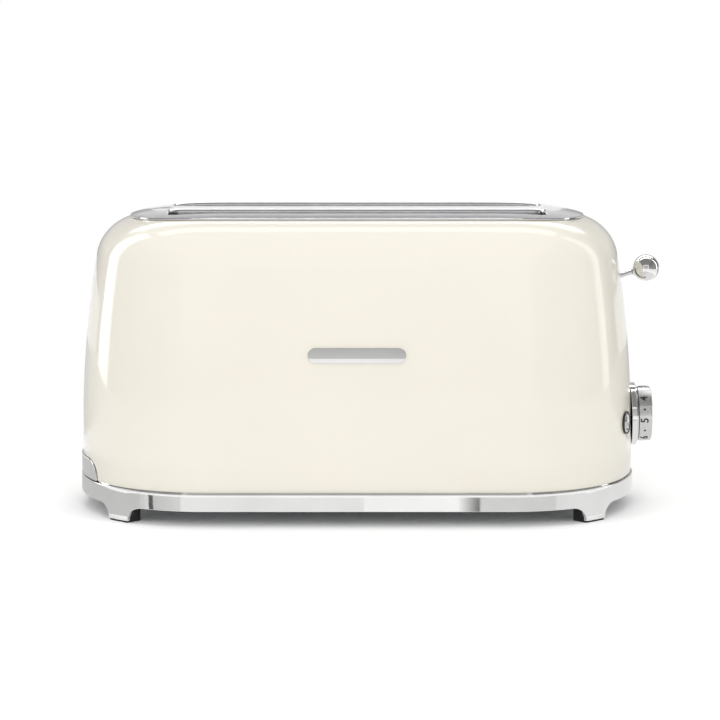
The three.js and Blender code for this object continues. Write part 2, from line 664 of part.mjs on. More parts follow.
// A group whose origin is on the end wall's face at a place across it and a height, and whose +X
// points straight out of the wall there.
function onEndWall(y, z) {
  const inset = wallInset(z);
  const turn = Math.asin(y / (END_RADIUS - inset));
  const group = new THREE.Group();
  const radius = END_RADIUS - inset;
  group.position.set(END_CENTRE_X + radius * Math.cos(turn), radius * Math.sin(turn), z);
  group.rotation.set(0, -wallTilt(z), turn, "ZYX");
  group.updateMatrixWorld();
  return group;
}

function bezelHoleCutter() {
  const reach = BEZEL_SUNK + 2 * THROUGH;
  const radius = BEZEL_RADIUS + GAP;
  const plug = turnedAboutX([[0, -reach], [radius, -reach], [radius, reach], [0, reach]], 40);
  return plug.applyMatrix4(onEndWall(0, DIAL_Z).matrix);
}

function dialBezel() {
  const bore = SHAFT_RADIUS + RUN;
  const rim = BEZEL_DEPTH - BEZEL_STEP;
  const inner = DIAL_RADIUS + ROUND_EDGE;
  return turnedAboutX([
    [bore, -BEZEL_BOSS_DEPTH],
    [BEZEL_BOSS_RADIUS, -BEZEL_BOSS_DEPTH],
    [BEZEL_BOSS_RADIUS, -BEZEL_SUNK],
    [BEZEL_RADIUS, -BEZEL_SUNK],
    [BEZEL_RADIUS, rim - ROUND_EDGE],
    [BEZEL_RADIUS - ROUND_EDGE, rim],
    [inner, rim],
    [inner - ROUND_EDGE / 2, BEZEL_DEPTH],
    [bore, BEZEL_DEPTH],
    [bore, -BEZEL_BOSS_DEPTH],
  ], 32);
}

function dialKnob() {
  const back = BEZEL_DEPTH + DIAL_GAP;
  const front = back + DIAL_DEPTH;
  const bore = SHAFT_RADIUS + GAP;
  const boreEnd = front - DIAL_DEPTH / 3;
  return turnedAboutX([
    [bore, back],
    [DIAL_RADIUS - ROUND_EDGE, back],
    [DIAL_RADIUS, back + ROUND_EDGE],
    [DIAL_RADIUS, front - ROUND_EDGE],
    [DIAL_RADIUS - ROUND_EDGE, front],
    [0, front],
    [0, boreEnd],
    [bore, boreEnd],
    [bore, back],
  ], 32);
}

function roundAboutX(radius, [x0, x1], sides) {
  return turnedAboutX([[0, x0], [radius, x0], [radius, x1], [0, x1]], sides);
}

function dialShaft() {
  const tip = BEZEL_DEPTH + DIAL_GAP + (2 * DIAL_DEPTH) / 3 - GAP;
  return roundAboutX(SHAFT_RADIUS, [-BOARD_SETBACK + 2 * THROUGH, tip], 20);
}

function potentiometer() {
  const bore = SHAFT_RADIUS + RUN;
  const back = GAP - BOARD_SETBACK;
  const front = -BEZEL_BOSS_DEPTH - GAP;
  const body = turnedAboutX([
    [bore, back],
    [POTENTIOMETER_RADIUS, back],
    [POTENTIOMETER_RADIUS, front],
    [bore, front],
    [bore, back],
  ], 20);
  return body;
}

function controlBoard() {
  const lean = (BOARD_SETBACK + BOARD_THICKNESS) * Math.tan(wallTilt(DIAL_Z));
  const bottom = LEDGE_BOTTOM_Z + LEDGE_THICKNESS + GAP + lean - DIAL_Z;
  return box([-BOARD_SETBACK - BOARD_THICKNESS, -BOARD_SETBACK],
    [-BOARD_HALF_WIDTH, BOARD_HALF_WIDTH], [bottom, BOARD_ABOVE_DIAL]);
}

// Where a button's own axis meets the front of its switch, measured in the dial's group.
function switchMiddle(side) {
  const dial = onEndWall(0, DIAL_Z);
  const button = onEndWall(side * BUTTON_Y, DIAL_Z);
  const toDial = dial.matrix.clone().invert().multiply(button.matrix);
  const start = new THREE.Vector3().applyMatrix4(toDial);
  const inward = new THREE.Vector3(-1, 0, 0).transformDirection(toDial);
  const front = GAP + SWITCH_HEIGHT - BOARD_SETBACK;
  const way = (front - start.x) / inward.x;
  return { middle: start.addScaledVector(inward, way), way, slant: Math.acos(-inward.x) };
}

function tactSwitch(side) {
  const { middle } = switchMiddle(side);
  return box([middle.x - SWITCH_HEIGHT, middle.x], about(middle.y, SWITCH_WIDTH),
    about(middle.z, SWITCH_WIDTH));
}

function buttonHoleCutter(side) {
  const reach = BUTTON_BODY;
  const radius = BUTTON_RADIUS + GAP + BUTTON_RIM + GAP;
  return roundAboutX(radius, [-reach, reach], 24)
    .applyMatrix4(onEndWall(side * BUTTON_Y, DIAL_Z).matrix);
}

// A round cap with a shallow dish in its face and a stem that ends short of its switch.
function button(side) {
  const { way, slant } = switchMiddle(side);
  const spare = RUN + BUTTON_TRAVEL / Math.cos(slant) + BUTTON_STEM_RADIUS * Math.tan(slant);
  const stem = way - spare;
  return turnedAboutX([
    [0, -stem],
    [BUTTON_STEM_RADIUS, -stem],
    [BUTTON_STEM_RADIUS, -BUTTON_BODY],
    [BUTTON_RADIUS, -BUTTON_BODY],
    [BUTTON_RADIUS, BUTTON_PROUD - ROUND_EDGE],
    [BUTTON_RADIUS - ROUND_EDGE, BUTTON_PROUD],
    [BUTTON_RADIUS - 2 * ROUND_EDGE, BUTTON_PROUD],
    [0, BUTTON_PROUD - ROUND_EDGE],
  ], 24);
}

function buttonRim() {
  const inner = BUTTON_RADIUS + GAP;
  const outer = inner + BUTTON_RIM;
  return turnedAboutX([
    [inner, -BUTTON_BODY + THROUGH],
    [outer, -BUTTON_BODY + THROUGH],
    [outer, BUTTON_PROUD],
    [outer - BUTTON_RIM / 3, BUTTON_PROUD + BUTTON_RIM / 3],
    [inner, BUTTON_PROUD + BUTTON_RIM / 3],
    [inner, -BUTTON_BODY + THROUGH],
  ], 24);
}

// --- Lever and carriage -----------------------------------------------------------------------------

const LEVER_WALL_X = BAND_HALF_LENGTH - wallInset(LEVER_WALL_Z);
const LEVER_ROOT_X = CARRIAGE_X + CARRIAGE_SHEET + GAP + LEVER_RADIUS * Math.sin(LEVER_RISE);
const LEVER_ROOT_Z = LEVER_WALL_Z - (LEVER_WALL_X - LEVER_ROOT_X) * Math.tan(LEVER_RISE);
const BALL_X = LEVER_WALL_X + BALL_CENTRE_OUT;
const BALL_Z = LEVER_WALL_Z + BALL_CENTRE_OUT * Math.tan(LEVER_RISE);
const LEVER_SLOT_TOP_Z = LEVER_WALL_Z + LEVER_SLOT_SPARE;
const LEVER_SLOT_BOTTOM_Z = LEVER_WALL_Z - LEVER_TRAVEL - LEVER_SLOT_SPARE;
const CARRIAGE_TOP_Z = LEVER_ROOT_Z + 4 * LEVER_RADIUS;

function leverSlotShape(extra) {
  const halfHeight = (LEVER_SLOT_TOP_Z - LEVER_SLOT_BOTTOM_Z) / 2 + extra;
  const halfWidth = LEVER_SLOT_WIDTH / 2 + extra;
  return roundedRectangle(halfWidth, halfHeight, halfWidth);
}

function leverSlotCutter() {
  const middle = (LEVER_SLOT_TOP_Z + LEVER_SLOT_BOTTOM_Z) / 2;
  const reach = [CARRIAGE_X, BAND_HALF_LENGTH];
  return pushedAlongX(leverSlotShape(0), reach, 6).translate(0, 0, middle);
}

// A dark frame behind the lever's slot, flat against the inside of the end wall.
function leverSlotTrim() {
  const middle = (LEVER_SLOT_TOP_Z + LEVER_SLOT_BOTTOM_Z) / 2;
  const outer = leverSlotShape(TRIM_BORDER);
  outer.holes.push(leverSlotShape(RUN));
  const frame = pushedAlongX(outer, [-TRIM_SHEET, 0], 6);
  const halfHeight = (LEVER_SLOT_TOP_Z - LEVER_SLOT_BOTTOM_Z) / 2 + TRIM_BORDER;
  const bulge = halfHeight ** 2 / (2 * WALL_RADIUS);
  const curve = (LEVER_SLOT_WIDTH / 2 + TRIM_BORDER) ** 2 / (2 * END_RADIUS);
  const wall = SHELL_WALL + WALL_FACET + GAP;
  const x = BAND_HALF_LENGTH - wallInset(middle) - wall - bulge - curve;
  return frame.rotateY(-wallTilt(middle)).translate(x, 0, middle);
}

function leverStem() {
  const along = (BALL_X - LEVER_ROOT_X) / Math.cos(LEVER_RISE) - BALL_RADIUS - GAP;
  const stem = roundAboutX(LEVER_RADIUS, [0, along + BALL_RADIUS / 2], 12);
  return stem.rotateY(-LEVER_RISE).translate(LEVER_ROOT_X, 0, LEVER_ROOT_Z);
}

// The ball, bored from below its middle for the stem.
function leverBall() {
  const ball = new THREE.SphereGeometry(BALL_RADIUS, 20, 12);
  const bore = roundAboutX(LEVER_RADIUS + GAP, [-2 * BALL_RADIUS, -BALL_RADIUS / 2 + GAP], 12);
  return cut(ball.translate(BALL_X, 0, BALL_Z),
    bore.rotateY(-LEVER_RISE).translate(BALL_X, 0, BALL_Z));
}

// The carriage: an upright plate with a crossbar over the racks and a sleeve on the guide rod.
function carriageBracket() {
  const bottom = CROSSBAR_Z;
  const plate = box([CARRIAGE_X, CARRIAGE_X + CARRIAGE_SHEET],
    [-CARRIAGE_HALF_WIDTH, CARRIAGE_HALF_WIDTH], [bottom, CARRIAGE_TOP_Z]);
  const reach = SLOT_Y + 2 * RACK_THICKNESS;
  const crossbar = box([CHASSIS_OUTER_X + 2 * GAP, CARRIAGE_X + CARRIAGE_SHEET], [-reach, reach],
    [CROSSBAR_Z, CROSSBAR_Z + CROSSBAR_THICKNESS]);
  const half = ROD_RADIUS + RUN + SLEEVE_WALL;
  const top = bottom + 4 * half;
  const sleeve = box([ROD_X - half, CARRIAGE_X + CARRIAGE_SHEET / 2], about(ROD_Y, 2 * half),
    [bottom, top]);
  const rod = bar(ROD_RADIUS + RUN, ROD_X, ROD_Y, [bottom - THROUGH, top + THROUGH], 16);
  return cut(join(plate, crossbar, sleeve), rod);
}

function guideRod() {
  const ends = [LOWER_TAB_Z - THROUGH, UPPER_TAB_Z + TAB_THICKNESS + THROUGH];
  return bar(ROD_RADIUS, ROD_X, ROD_Y, ends, 16);
}

// The extension spring that pulls the carriage up, a helix with flat closed ends.
function liftSpring() {
  const bottom = CROSSBAR_Z + CROSSBAR_THICKNESS + GAP + SPRING_WIRE;
  const top = UPPER_TAB_Z - GAP - SPRING_WIRE;
  const points = shares(SPRING_TURNS * SPRING_STEPS).map((share) => {
    const turn = share * SPRING_TURNS * 2 * Math.PI;
    return new THREE.Vector3(
      ROD_X + SPRING_RADIUS * Math.cos(turn),
      -ROD_Y + SPRING_RADIUS * Math.sin(turn),
      mix(bottom, top, share),
    );
  });
  const wire = new THREE.Shape().absarc(0, 0, SPRING_WIRE, 0, 2 * Math.PI);
  const extrudePath = new THREE.CatmullRomCurve3(points);
  const options = { steps: SPRING_TURNS * SPRING_STEPS, curveSegments: 3, extrudePath };
  return new THREE.ExtrudeGeometry(wire, options);
}

function latchPlate() {
  return box([CHASSIS_OUTER_X + 2 * GAP, CHASSIS_OUTER_X + MAGNET_DEPTH],
    [-LATCH_HALF_WIDTH, LATCH_HALF_WIDTH - 1], [LATCH_BOTTOM_Z, LATCH_BOTTOM_Z + LATCH_THICKNESS]);
}

const MAGNET_X = CHASSIS_OUTER_X + GAP + MAGNET_DEPTH / 2;
const MAGNET_BOTTOM_Z = MAGNET_TOP_Z - MAGNET_HEIGHT;

// An E shaped iron core: a foot, two flat legs and a round middle post.
function magnetCore() {
  const depth = about(MAGNET_X, MAGNET_DEPTH);
  const half = LATCH_HALF_WIDTH;
  const foot = box(depth, [-half, half], [MAGNET_BOTTOM_Z, MAGNET_BOTTOM_Z + MAGNET_LEG]);
  const legs = [-1, 1].map((side) =>
    box(depth, about(side * (half - MAGNET_LEG / 2), MAGNET_LEG), [MAGNET_BOTTOM_Z, MAGNET_TOP_Z]));
  const post = bar(MAGNET_POST_RADIUS, MAGNET_X, 0, [MAGNET_BOTTOM_Z + THROUGH, MAGNET_TOP_Z], 16);
  return join(foot, ...legs, post);
}

function magnetCoil() {
  const outer = LATCH_HALF_WIDTH - MAGNET_LEG - GAP;
  const span = [MAGNET_BOTTOM_Z + MAGNET_LEG + GAP, MAGNET_TOP_Z - THROUGH];
  const hole = [span[0] - THROUGH, span[1] + THROUGH];
  return cut(bar(outer, MAGNET_X, 0, span, 24),
    bar(MAGNET_POST_RADIUS + GAP, MAGNET_X, 0, hole, 16));
}

// The strip and cross bars that carry the slices in one slot.
function breadRack(y) {
  const strip = box([-SLOT_HALF_LENGTH + RACK_BAR_WIDTH, ROD_X], about(y, RACK_THICKNESS),
    [RACK_TOP_Z - RACK_HEIGHT, RACK_TOP_Z]);
  const span = SLOT_HALF_LENGTH - 2 * RACK_BAR_WIDTH;
  const bars = shares(RACK_BARS - 1).map((share) =>
    box(about(mix(-span, span, share), RACK_BAR_WIDTH), about(y, 2 * RACK_HALF_WIDTH),
      [RACK_TOP_Z - RACK_THICKNESS, RACK_TOP_Z]));
  return join(strip, ...bars);
}

// --- Chassis and toasting parts ---------------------------------------------------------------------

function chassisWall(side) {
  const x = [side * CHASSIS_X, side * CHASSIS_OUTER_X].sort((a, b) => a - b);
  const width = [-CHASSIS_HALF_WIDTH, CHASSIS_HALF_WIDTH];
  const wall = box(x, width, [CHASSIS_BOTTOM_Z, CHASSIS_TOP_Z]);
  const beyond = [x[0] - THROUGH, x[1] + THROUGH];
  const tray = box(beyond, about(0, 2 * (TRAY_HALF_WIDTH + RUN)),
    [TRAY_BOTTOM_Z - GAP, TRAY_TOP_Z + RUN]);
  return { wall, beyond, tray };
}

function chassisLeft() {
  const { wall, tray } = chassisWall(-1);
  return cut(wall, tray);
}

// The control end of the chassis: slots for the racks and two tabs for the guide rod and spring.
function chassisRight() {
  const { wall, beyond, tray } = chassisWall(1);
  const low = RACK_TOP_Z - RACK_HEIGHT - LEVER_TRAVEL - THROUGH;
  const slots = [-SLOT_Y, SLOT_Y].map((y) =>
    box(beyond, about(y, RACK_THICKNESS + 2 * THROUGH), [low, RACK_TOP_Z + THROUGH]));
  const depth = [CHASSIS_X + CHASSIS_SHEET / 2, ROD_X + 2 * ROD_RADIUS];
  const half = -ROD_Y + 2 * ROD_RADIUS;
  const upper = box(depth, [-half, half], [UPPER_TAB_Z, UPPER_TAB_Z + TAB_THICKNESS]);
  const lower = box(depth, about(ROD_Y, 4 * ROD_RADIUS), [LOWER_TAB_Z, LOWER_TAB_Z + TAB_THICKNESS]);
  const rod = bar(ROD_RADIUS + GAP, ROD_X, ROD_Y,
    [LOWER_TAB_Z - THROUGH, UPPER_TAB_Z + TAB_THICKNESS + THROUGH], 16);
  return cut(join(wall, upper, lower), tray, ...slots, rod);
}

const BETWEEN_WALLS = [GAP - CHASSIS_X, CHASSIS_X - GAP];

function reflector(side) {
  const y = side * (SLOT_Y + HEATER_OFFSET + REFLECTOR_SPACE);
  const bottom = TOASTING_TOP_Z - HEATER_HEIGHT - REFLECTOR_SPACE;
  return box(BETWEEN_WALLS, about(y, REFLECTOR_SHEET), [bottom, TOASTING_TOP_Z + GAP]);
}

function tieBar(bottom) {
  return box(BETWEEN_WALLS, about(0, 2 * TIE_BAR_HALF_WIDTH), [bottom, bottom + TIE_BAR_HEIGHT]);
}

function heaterBoard(y) {
  return box(BETWEEN_WALLS, about(y, MICA_SHEET), [TOASTING_TOP_Z - HEATER_HEIGHT, TOASTING_TOP_Z]);
}

// A flat ribbon that runs to and fro in rows up one face of its board.
function heaterWire(y) {
  const length = SLOT_HALF_LENGTH - HEATER_MARGIN;
  const rise = (HEATER_HEIGHT - 2 * HEATER_MARGIN) / (RIBBON_ROWS - 1);
  const start = TOASTING_TOP_Z - HEATER_HEIGHT + HEATER_MARGIN;
  const depth = about(y, RIBBON_SHEET);
  const rows = Array.from({ length: RIBBON_ROWS }, (_, row) => start + row * rise);
  const runs = rows.map((z) => box([-length, length], depth, about(z, RIBBON_WIDTH)));
  const turns = rows.slice(1).map((z, row) => {
    const end = row % 2 === 0 ? length : -length;
    const inside = end - Math.sign(end) * RIBBON_WIDTH;
    const span = [Math.min(end, inside), Math.max(end, inside)];
    return box(span, depth, [z - rise - RIBBON_WIDTH / 2, z + RIBBON_WIDTH / 2]);
  });
  return join(...runs, ...turns);
}

// A grid that holds the slice upright, a frame with a row of tall windows.
function breadGuide(y) {
  const [x0, x1] = BETWEEN_WALLS;
  const z0 = TOASTING_TOP_Z - GUIDE_HEIGHT;
  const pitch = (x1 - x0 - GUIDE_BAR) / GUIDE_WINDOWS;
  const frame = box([x0, x1], about(y, GUIDE_SHEET), [z0, TOASTING_TOP_Z]);
  const windows = Array.from({ length: GUIDE_WINDOWS }, (_, i) => {
    const left = x0 + GUIDE_BAR + i * pitch;
    return box([left, left + pitch - GUIDE_BAR], about(y, 4 * GUIDE_SHEET),
      [z0 + GUIDE_BAR, TOASTING_TOP_Z - GUIDE_BAR]);
  });
  return cut(frame, ...windows);
}

// --- Mains parts and badge --------------------------------------------------------------------------

function onBasePlate(x, y, [length, width, height]) {
  const z = BASE_PLATE_TOP_Z + GAP;
  return box(about(x, length), about(y, width), [z, z + height]);
}

function terminalBlock() {
  return onBasePlate(TERMINAL_X, TERMINAL_Y, TERMINAL_SIZE);
}

// The bush in the base plate that the mains cord leaves through.
function cordGland() {
  const lip = BASE_PLATE_TOP_Z - BASE_PLATE_THICKNESS - GAP;
  const top = BASE_PLATE_TOP_Z + 2 * GLAND_LIP;
  const body = bar(GLAND_RADIUS, GLAND_X, TERMINAL_Y, [lip - THROUGH, top], 20);
  const flange = bar(GLAND_RADIUS + GLAND_LIP, GLAND_X, TERMINAL_Y, [lip - GLAND_LIP, lip], 20);
  const bore = bar(GLAND_BORE, GLAND_X, TERMINAL_Y, [lip - 2 * GLAND_LIP, top + THROUGH], 16);
  return cut(join(body, flange), bore);
}

// The clamp that holds the cord between the gland and the terminal block.
function cordCleat() {
  const x = (GLAND_X + GLAND_RADIUS + TERMINAL_X - TERMINAL_SIZE[0] / 2) / 2;
  const block = onBasePlate(x, TERMINAL_Y, CLEAT_SIZE);
  const z = BASE_PLATE_TOP_Z + GAP;
  const groove = box(about(x, 2 * CLEAT_SIZE[0]), about(TERMINAL_Y, CLEAT_SIZE[2]),
    [z - THROUGH, z + CLEAT_SIZE[2] / 2]);
  return cut(block, groove);
}

function switchBlock() {
  const x = TRAY_END_X + RUN + SWITCH_BLOCK_SIZE[0] / 2;
  return onBasePlate(x, SLOT_Y, SWITCH_BLOCK_SIZE);
}

// A plain bar with round ends, flat against the side of the front.
function frontBadge() {
  const shape = roundedRectangle(BADGE_HALF_LENGTH, BADGE_HALF_HEIGHT, BADGE_HALF_HEIGHT);
  const options = { depth: BADGE_THICKNESS, bevelEnabled: false, curveSegments: 6 };
  const plate = new THREE.ExtrudeGeometry(shape, options);
  const bulge = BADGE_HALF_HEIGHT ** 2 / (2 * WALL_RADIUS);
  const y = BAND_HALF_DEPTH - wallInset(BADGE_Z) + GAP + bulge;
  return plate.rotateX(Math.PI / 2 - wallTilt(BADGE_Z)).translate(0, -y, BADGE_Z);
}

// --- Assembly ---------------------------------------------------------------------------------------

const body = new THREE.Group();
body.position.x = (BAND_HALF_LENGTH - BALL_X - BALL_RADIUS) / 2;

function add(name, geometry, material, parent = body) {
  const mesh = new THREE.Mesh(geometry, material);
  mesh.name = name;
  parent.add(mesh);
}

add("body_shell", bodyShell(), enamel);
add("top_plate", topPlate(), polished);
add("base_frame", baseFrame(), polished);
add("base_plate", basePlate(), steel);
add("front_badge", frontBadge(), chrome);
for (const quarter of QUARTERS) {
  const [name, right, rear] = quarter;
  add("foot_pad_" + name, footPad(quarter), rubber);
  add("base_screw_" + name, baseScrew(right, rear), steel);
}

add("crumb_tray", crumbTray(), steel);
add("crumb_tray_front", crumbTrayFront(), chrome);

const dialGroup = onEndWall(0, DIAL_Z);
body.add(dialGroup);
add("dial_bezel", dialBezel(), chrome, dialGroup);
add("dial_knob", dialKnob(), chrome, dialGroup);
add("dial_shaft", dialShaft(), steel, dialGroup);
add("potentiometer", potentiometer(), steel, dialGroup);
add("control_board", controlBoard(), board, dialGroup);
for (const [name, side] of [["near", -1], ["far", 1]]) {
  const buttonGroup = onEndWall(side * BUTTON_Y, DIAL_Z);
  body.add(buttonGroup);
  add("button_" + name, button(side), chrome, buttonGroup);
  add("button_rim_" + name, buttonRim(), plastic, buttonGroup);
  add("tact_switch_" + name, tactSwitch(side), plastic, dialGroup);
}

add("lever_stem", leverStem(), chrome);
add("lever_ball", leverBall(), chrome);
add("lever_slot_trim", leverSlotTrim(), plastic);
add("carriage_bracket", carriageBracket(), steel);
add("guide_rod", guideRod(), steel);
add("lift_spring", liftSpring(), steel);
add("latch_plate", latchPlate(), iron);
add("electromagnet_core", magnetCore(), iron);
add("electromagnet_coil", magnetCoil(), copper);

add("chassis_wall_left", chassisLeft(), steel);
add("chassis_wall_right", chassisRight(), steel);
add("tie_bar_upper", tieBar(TOASTING_TOP_Z), steel);
add("tie_bar_lower", tieBar(TRAY_TOP_Z + TIE_BAR_HEIGHT), steel);
for (const [name, side] of [["front", -1], ["rear", 1]]) {
  add("reflector_" + name, reflector(side), steel);
  add("bread_rack_" + name, breadRack(side * SLOT_Y), steel);
  for (const [place, out] of [["outer", 1], ["inner", -1]]) {
    const boardY = side * (SLOT_Y + out * HEATER_OFFSET);
    const wireY = boardY - side * out * (MICA_SHEET / 2 + GAP + RIBBON_SHEET / 2);
    add(["heater_board", name, place].join("_"), heaterBoard(boardY), mica);
    add(["heater_wire", name, place].join("_"), heaterWire(wireY), ribbon);
    const guideY = side * (SLOT_Y + out * GUIDE_OFFSET);
    add(["bread_guide", name, place].join("_"), breadGuide(guideY), steel);
  }
}

add("switch_block", switchBlock(), plastic);
add("terminal_block", terminalBlock(), plastic);
add("cord_gland", cordGland(), rubber);
add("cord_cleat", cordCleat(), plastic);

export default body;
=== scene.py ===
"""A long slot toaster in cream enamel and polished metal, built round its CAD frame.

The file is laid out as an add-on. Run as a script it registers itself, makes each piece with its
own operator and leaves the finished scene.
"""

import json
import math

import bmesh
import bpy
import numpy as np
from mathutils import Matrix, Vector


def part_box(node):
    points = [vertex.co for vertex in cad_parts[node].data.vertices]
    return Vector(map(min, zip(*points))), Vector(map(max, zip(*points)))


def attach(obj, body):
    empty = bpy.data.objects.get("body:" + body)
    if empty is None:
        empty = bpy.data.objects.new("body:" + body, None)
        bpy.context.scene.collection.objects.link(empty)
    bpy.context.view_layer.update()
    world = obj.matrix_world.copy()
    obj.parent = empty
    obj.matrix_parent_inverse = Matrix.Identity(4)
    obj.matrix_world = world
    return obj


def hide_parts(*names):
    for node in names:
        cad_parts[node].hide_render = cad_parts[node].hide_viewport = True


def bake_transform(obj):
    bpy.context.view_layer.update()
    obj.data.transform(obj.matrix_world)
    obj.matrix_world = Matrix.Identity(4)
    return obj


bl_info = {
    "name": "Long slot toaster",
    "version": (1, 0, 0),
    "blender": (4, 5, 0),
    "location": "View3D > Sidebar > Toaster",
    "description": "Makes the visible pieces of a long slot toaster on its CAD frame",
    "category": "Object",
}

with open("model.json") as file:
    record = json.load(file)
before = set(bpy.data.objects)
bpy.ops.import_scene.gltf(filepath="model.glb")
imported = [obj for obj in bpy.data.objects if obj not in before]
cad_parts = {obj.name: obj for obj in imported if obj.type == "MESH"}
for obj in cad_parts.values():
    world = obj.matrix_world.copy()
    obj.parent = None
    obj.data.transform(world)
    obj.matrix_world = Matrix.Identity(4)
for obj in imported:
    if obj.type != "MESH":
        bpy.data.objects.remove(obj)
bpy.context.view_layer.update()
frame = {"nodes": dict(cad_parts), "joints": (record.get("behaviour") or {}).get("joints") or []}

MM = 0.001
BAND_LOW, BAND_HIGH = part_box("base_frame")
SHELL_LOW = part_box("body_shell")[0]
PLATE_LOW, PLATE_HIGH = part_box("top_plate")
MIDDLE_X = (BAND_LOW.x + BAND_HIGH.x) / 2
HALF_LENGTH = (BAND_HIGH.x - BAND_LOW.x) / 2
HALF_DEPTH = BAND_HIGH.y
GUIDE_SIDES = [(name, place) for name in ("front", "rear") for place in ("outer", "inner")]


# Cards that only metal and gloss see: (name, low corner, high corner, brightness below and above).
CARDS = (
    ("back_card_low", (-0.24, 1.0, 0.10), (0.22, 1.01, 0.33), 1.0, 0.95),
    ("back_card_left", (-2.0, 1.0, 0.10), (-0.24, 1.01, 0.33), 0.30, 0.50),
    ("back_card_right", (0.22, 1.0, 0.10), (2.0, 1.01, 0.33), 0.30, 0.50),
    ("back_card", (-0.30, 1.0, 0.33), (0.30, 1.01, 1.0), 0.75, 0.06),
    ("back_card_high_left", (-2.0, 1.0, 0.33), (-0.30, 1.01, 1.0), 0.58, 0.06),
    ("back_card_high_right", (0.30, 1.0, 0.33), (2.0, 1.01, 1.0), 0.58, 0.06),
    ("back_softbox", (-1.0, 1.0, 1.0), (1.0, 1.01, 1.35), 5.0, 5.0),
    ("side_card_left", (-1.21, 0.88, 0.0), (-1.20, 1.0, 1.4), 0.15, 0.15),
    ("side_card_right", (1.20, 0.45, 0.0), (1.21, 1.0, 1.4), 0.10, 0.06),
    ("softbox_left", (-1.21, 0.32, -0.2), (-1.20, 0.78, 1.7), 3.4, 3.4),
    ("softbox_right", (1.20, 0.20, 0.0), (1.21, 0.40, 1.6), 2.0, 2.0),
    ("near_card_left", (-1.21, -2.5, 0.0), (-1.20, 0.28, 1.4), 0.35, 0.20),
    ("near_card_right", (1.20, -2.5, 0.0), (1.21, 0.15, 1.4), 0.35, 0.15),
    ("ceiling_card", (-2.0, -2.5, 1.60), (2.0, 1.0, 1.61), 0.25, 0.25),
    ("ceiling_softbox", (-0.9, 0.14, 1.50), (0.9, 0.46, 1.51), 2.6, 2.6),
    ("floor_card_left", (-1.1, 0.25, 0.002), (-0.30, 0.95, 0.003), 0.6, 0.6),
    ("floor_card_right", (0.30, 0.25, 0.002), (1.1, 0.95, 0.003), 0.5, 0.5),
    ("front_card", (-1.2, -3.2, 0.0), (1.2, -3.19, 1.6), 0.62, 0.45),
)
# Cards on the floor, each where a stretch of the band mirrors it: (from x, to x, brightness at each).
BAND_CARDS = (
    (-0.196, -0.152, 0.60, 0.62),
    (-0.152, -0.1455, 0.62, 0.82),
    (-0.1455, -0.1425, 0.10, 0.12),
    (-0.1425, -0.124, 0.62, 0.75),
    (-0.124, -0.004, 0.92, 0.92),
    (-0.004, 0.058, 1.08, 1.08),
    (0.058, 0.0717, 1.00, 0.14),
    (0.0717, 0.122, 0.76, 0.74),
    (0.122, 0.179, 0.86, 0.86),
)
CARD_LIFT = 0.3 * MM
BAND_CARD_REACH = (3 * MM, 40 * MM)  # the heights on the band whose mirrored rays bound a card
FLOOR_SIZE = 12
FLOOR_FADE = 1.8  # where the floor turns plain white, in shadow reaches

# How finely the round and the curved surfaces are divided.
FINE_TURN, BALL_TURN, BUTTON_TURN, STEM_TURN = 144, 96, 72, 32
WALL_RINGS, SHOULDER_RINGS, HEM_RINGS = 34, 25, 6
INNER_WALL_RINGS, INNER_SHOULDER_RINGS = 18, 13
PLATE_ROWS, ROLL_STEPS, SLOT_CORNER_STEPS = 19, 11, 12
FLANGE_SHARES = (0.35, 0.7, 1.0)
LIP_SHARES = (0.05, 0.1)
BAND_FACE_SHARES = (0.35, 0.7)
EDGE_STEPS = 5

THROUGH = 5 * MM  # how far a cutter runs past what it cuts
BEZEL_LAP = 0.6 * MM  # how far the ring behind the dial covers the edge of its hole
BUTTON_LAP = 0.3 * MM  # how far a button's rim covers the edge of its hole
GRIP_PROUD = 0.4 * MM
GRIP_SUNK = 0.8 * MM
PRINT_THICKNESS = 0.12 * MM
PRINT_SUNK = 0.02 * MM
DOT_RADIUS = 0.75 * MM
NUMBERS = 6
TOP_NUMBER = 3
FIGURE_SHARE = 0.7  # a figure's height as a share of its font's size
FINISHED = {}  # the finishes made so far, by name


# --- Settings -------------------------------------------------------------------------------------


def length(name, description, default, **limits):
    return bpy.props.FloatProperty(
        name=name, description=description, default=default, subtype="DISTANCE", unit="LENGTH",
        precision=4, **limits)


def angle(name, description, degrees):
    return bpy.props.FloatProperty(
        name=name, description=description, default=math.radians(degrees), subtype="ANGLE",
        unit="ROTATION")


def colour(name, description, default):
    return bpy.props.FloatVectorProperty(
        name=name, description=description, default=default, subtype="COLOR", size=3, min=0, max=1)


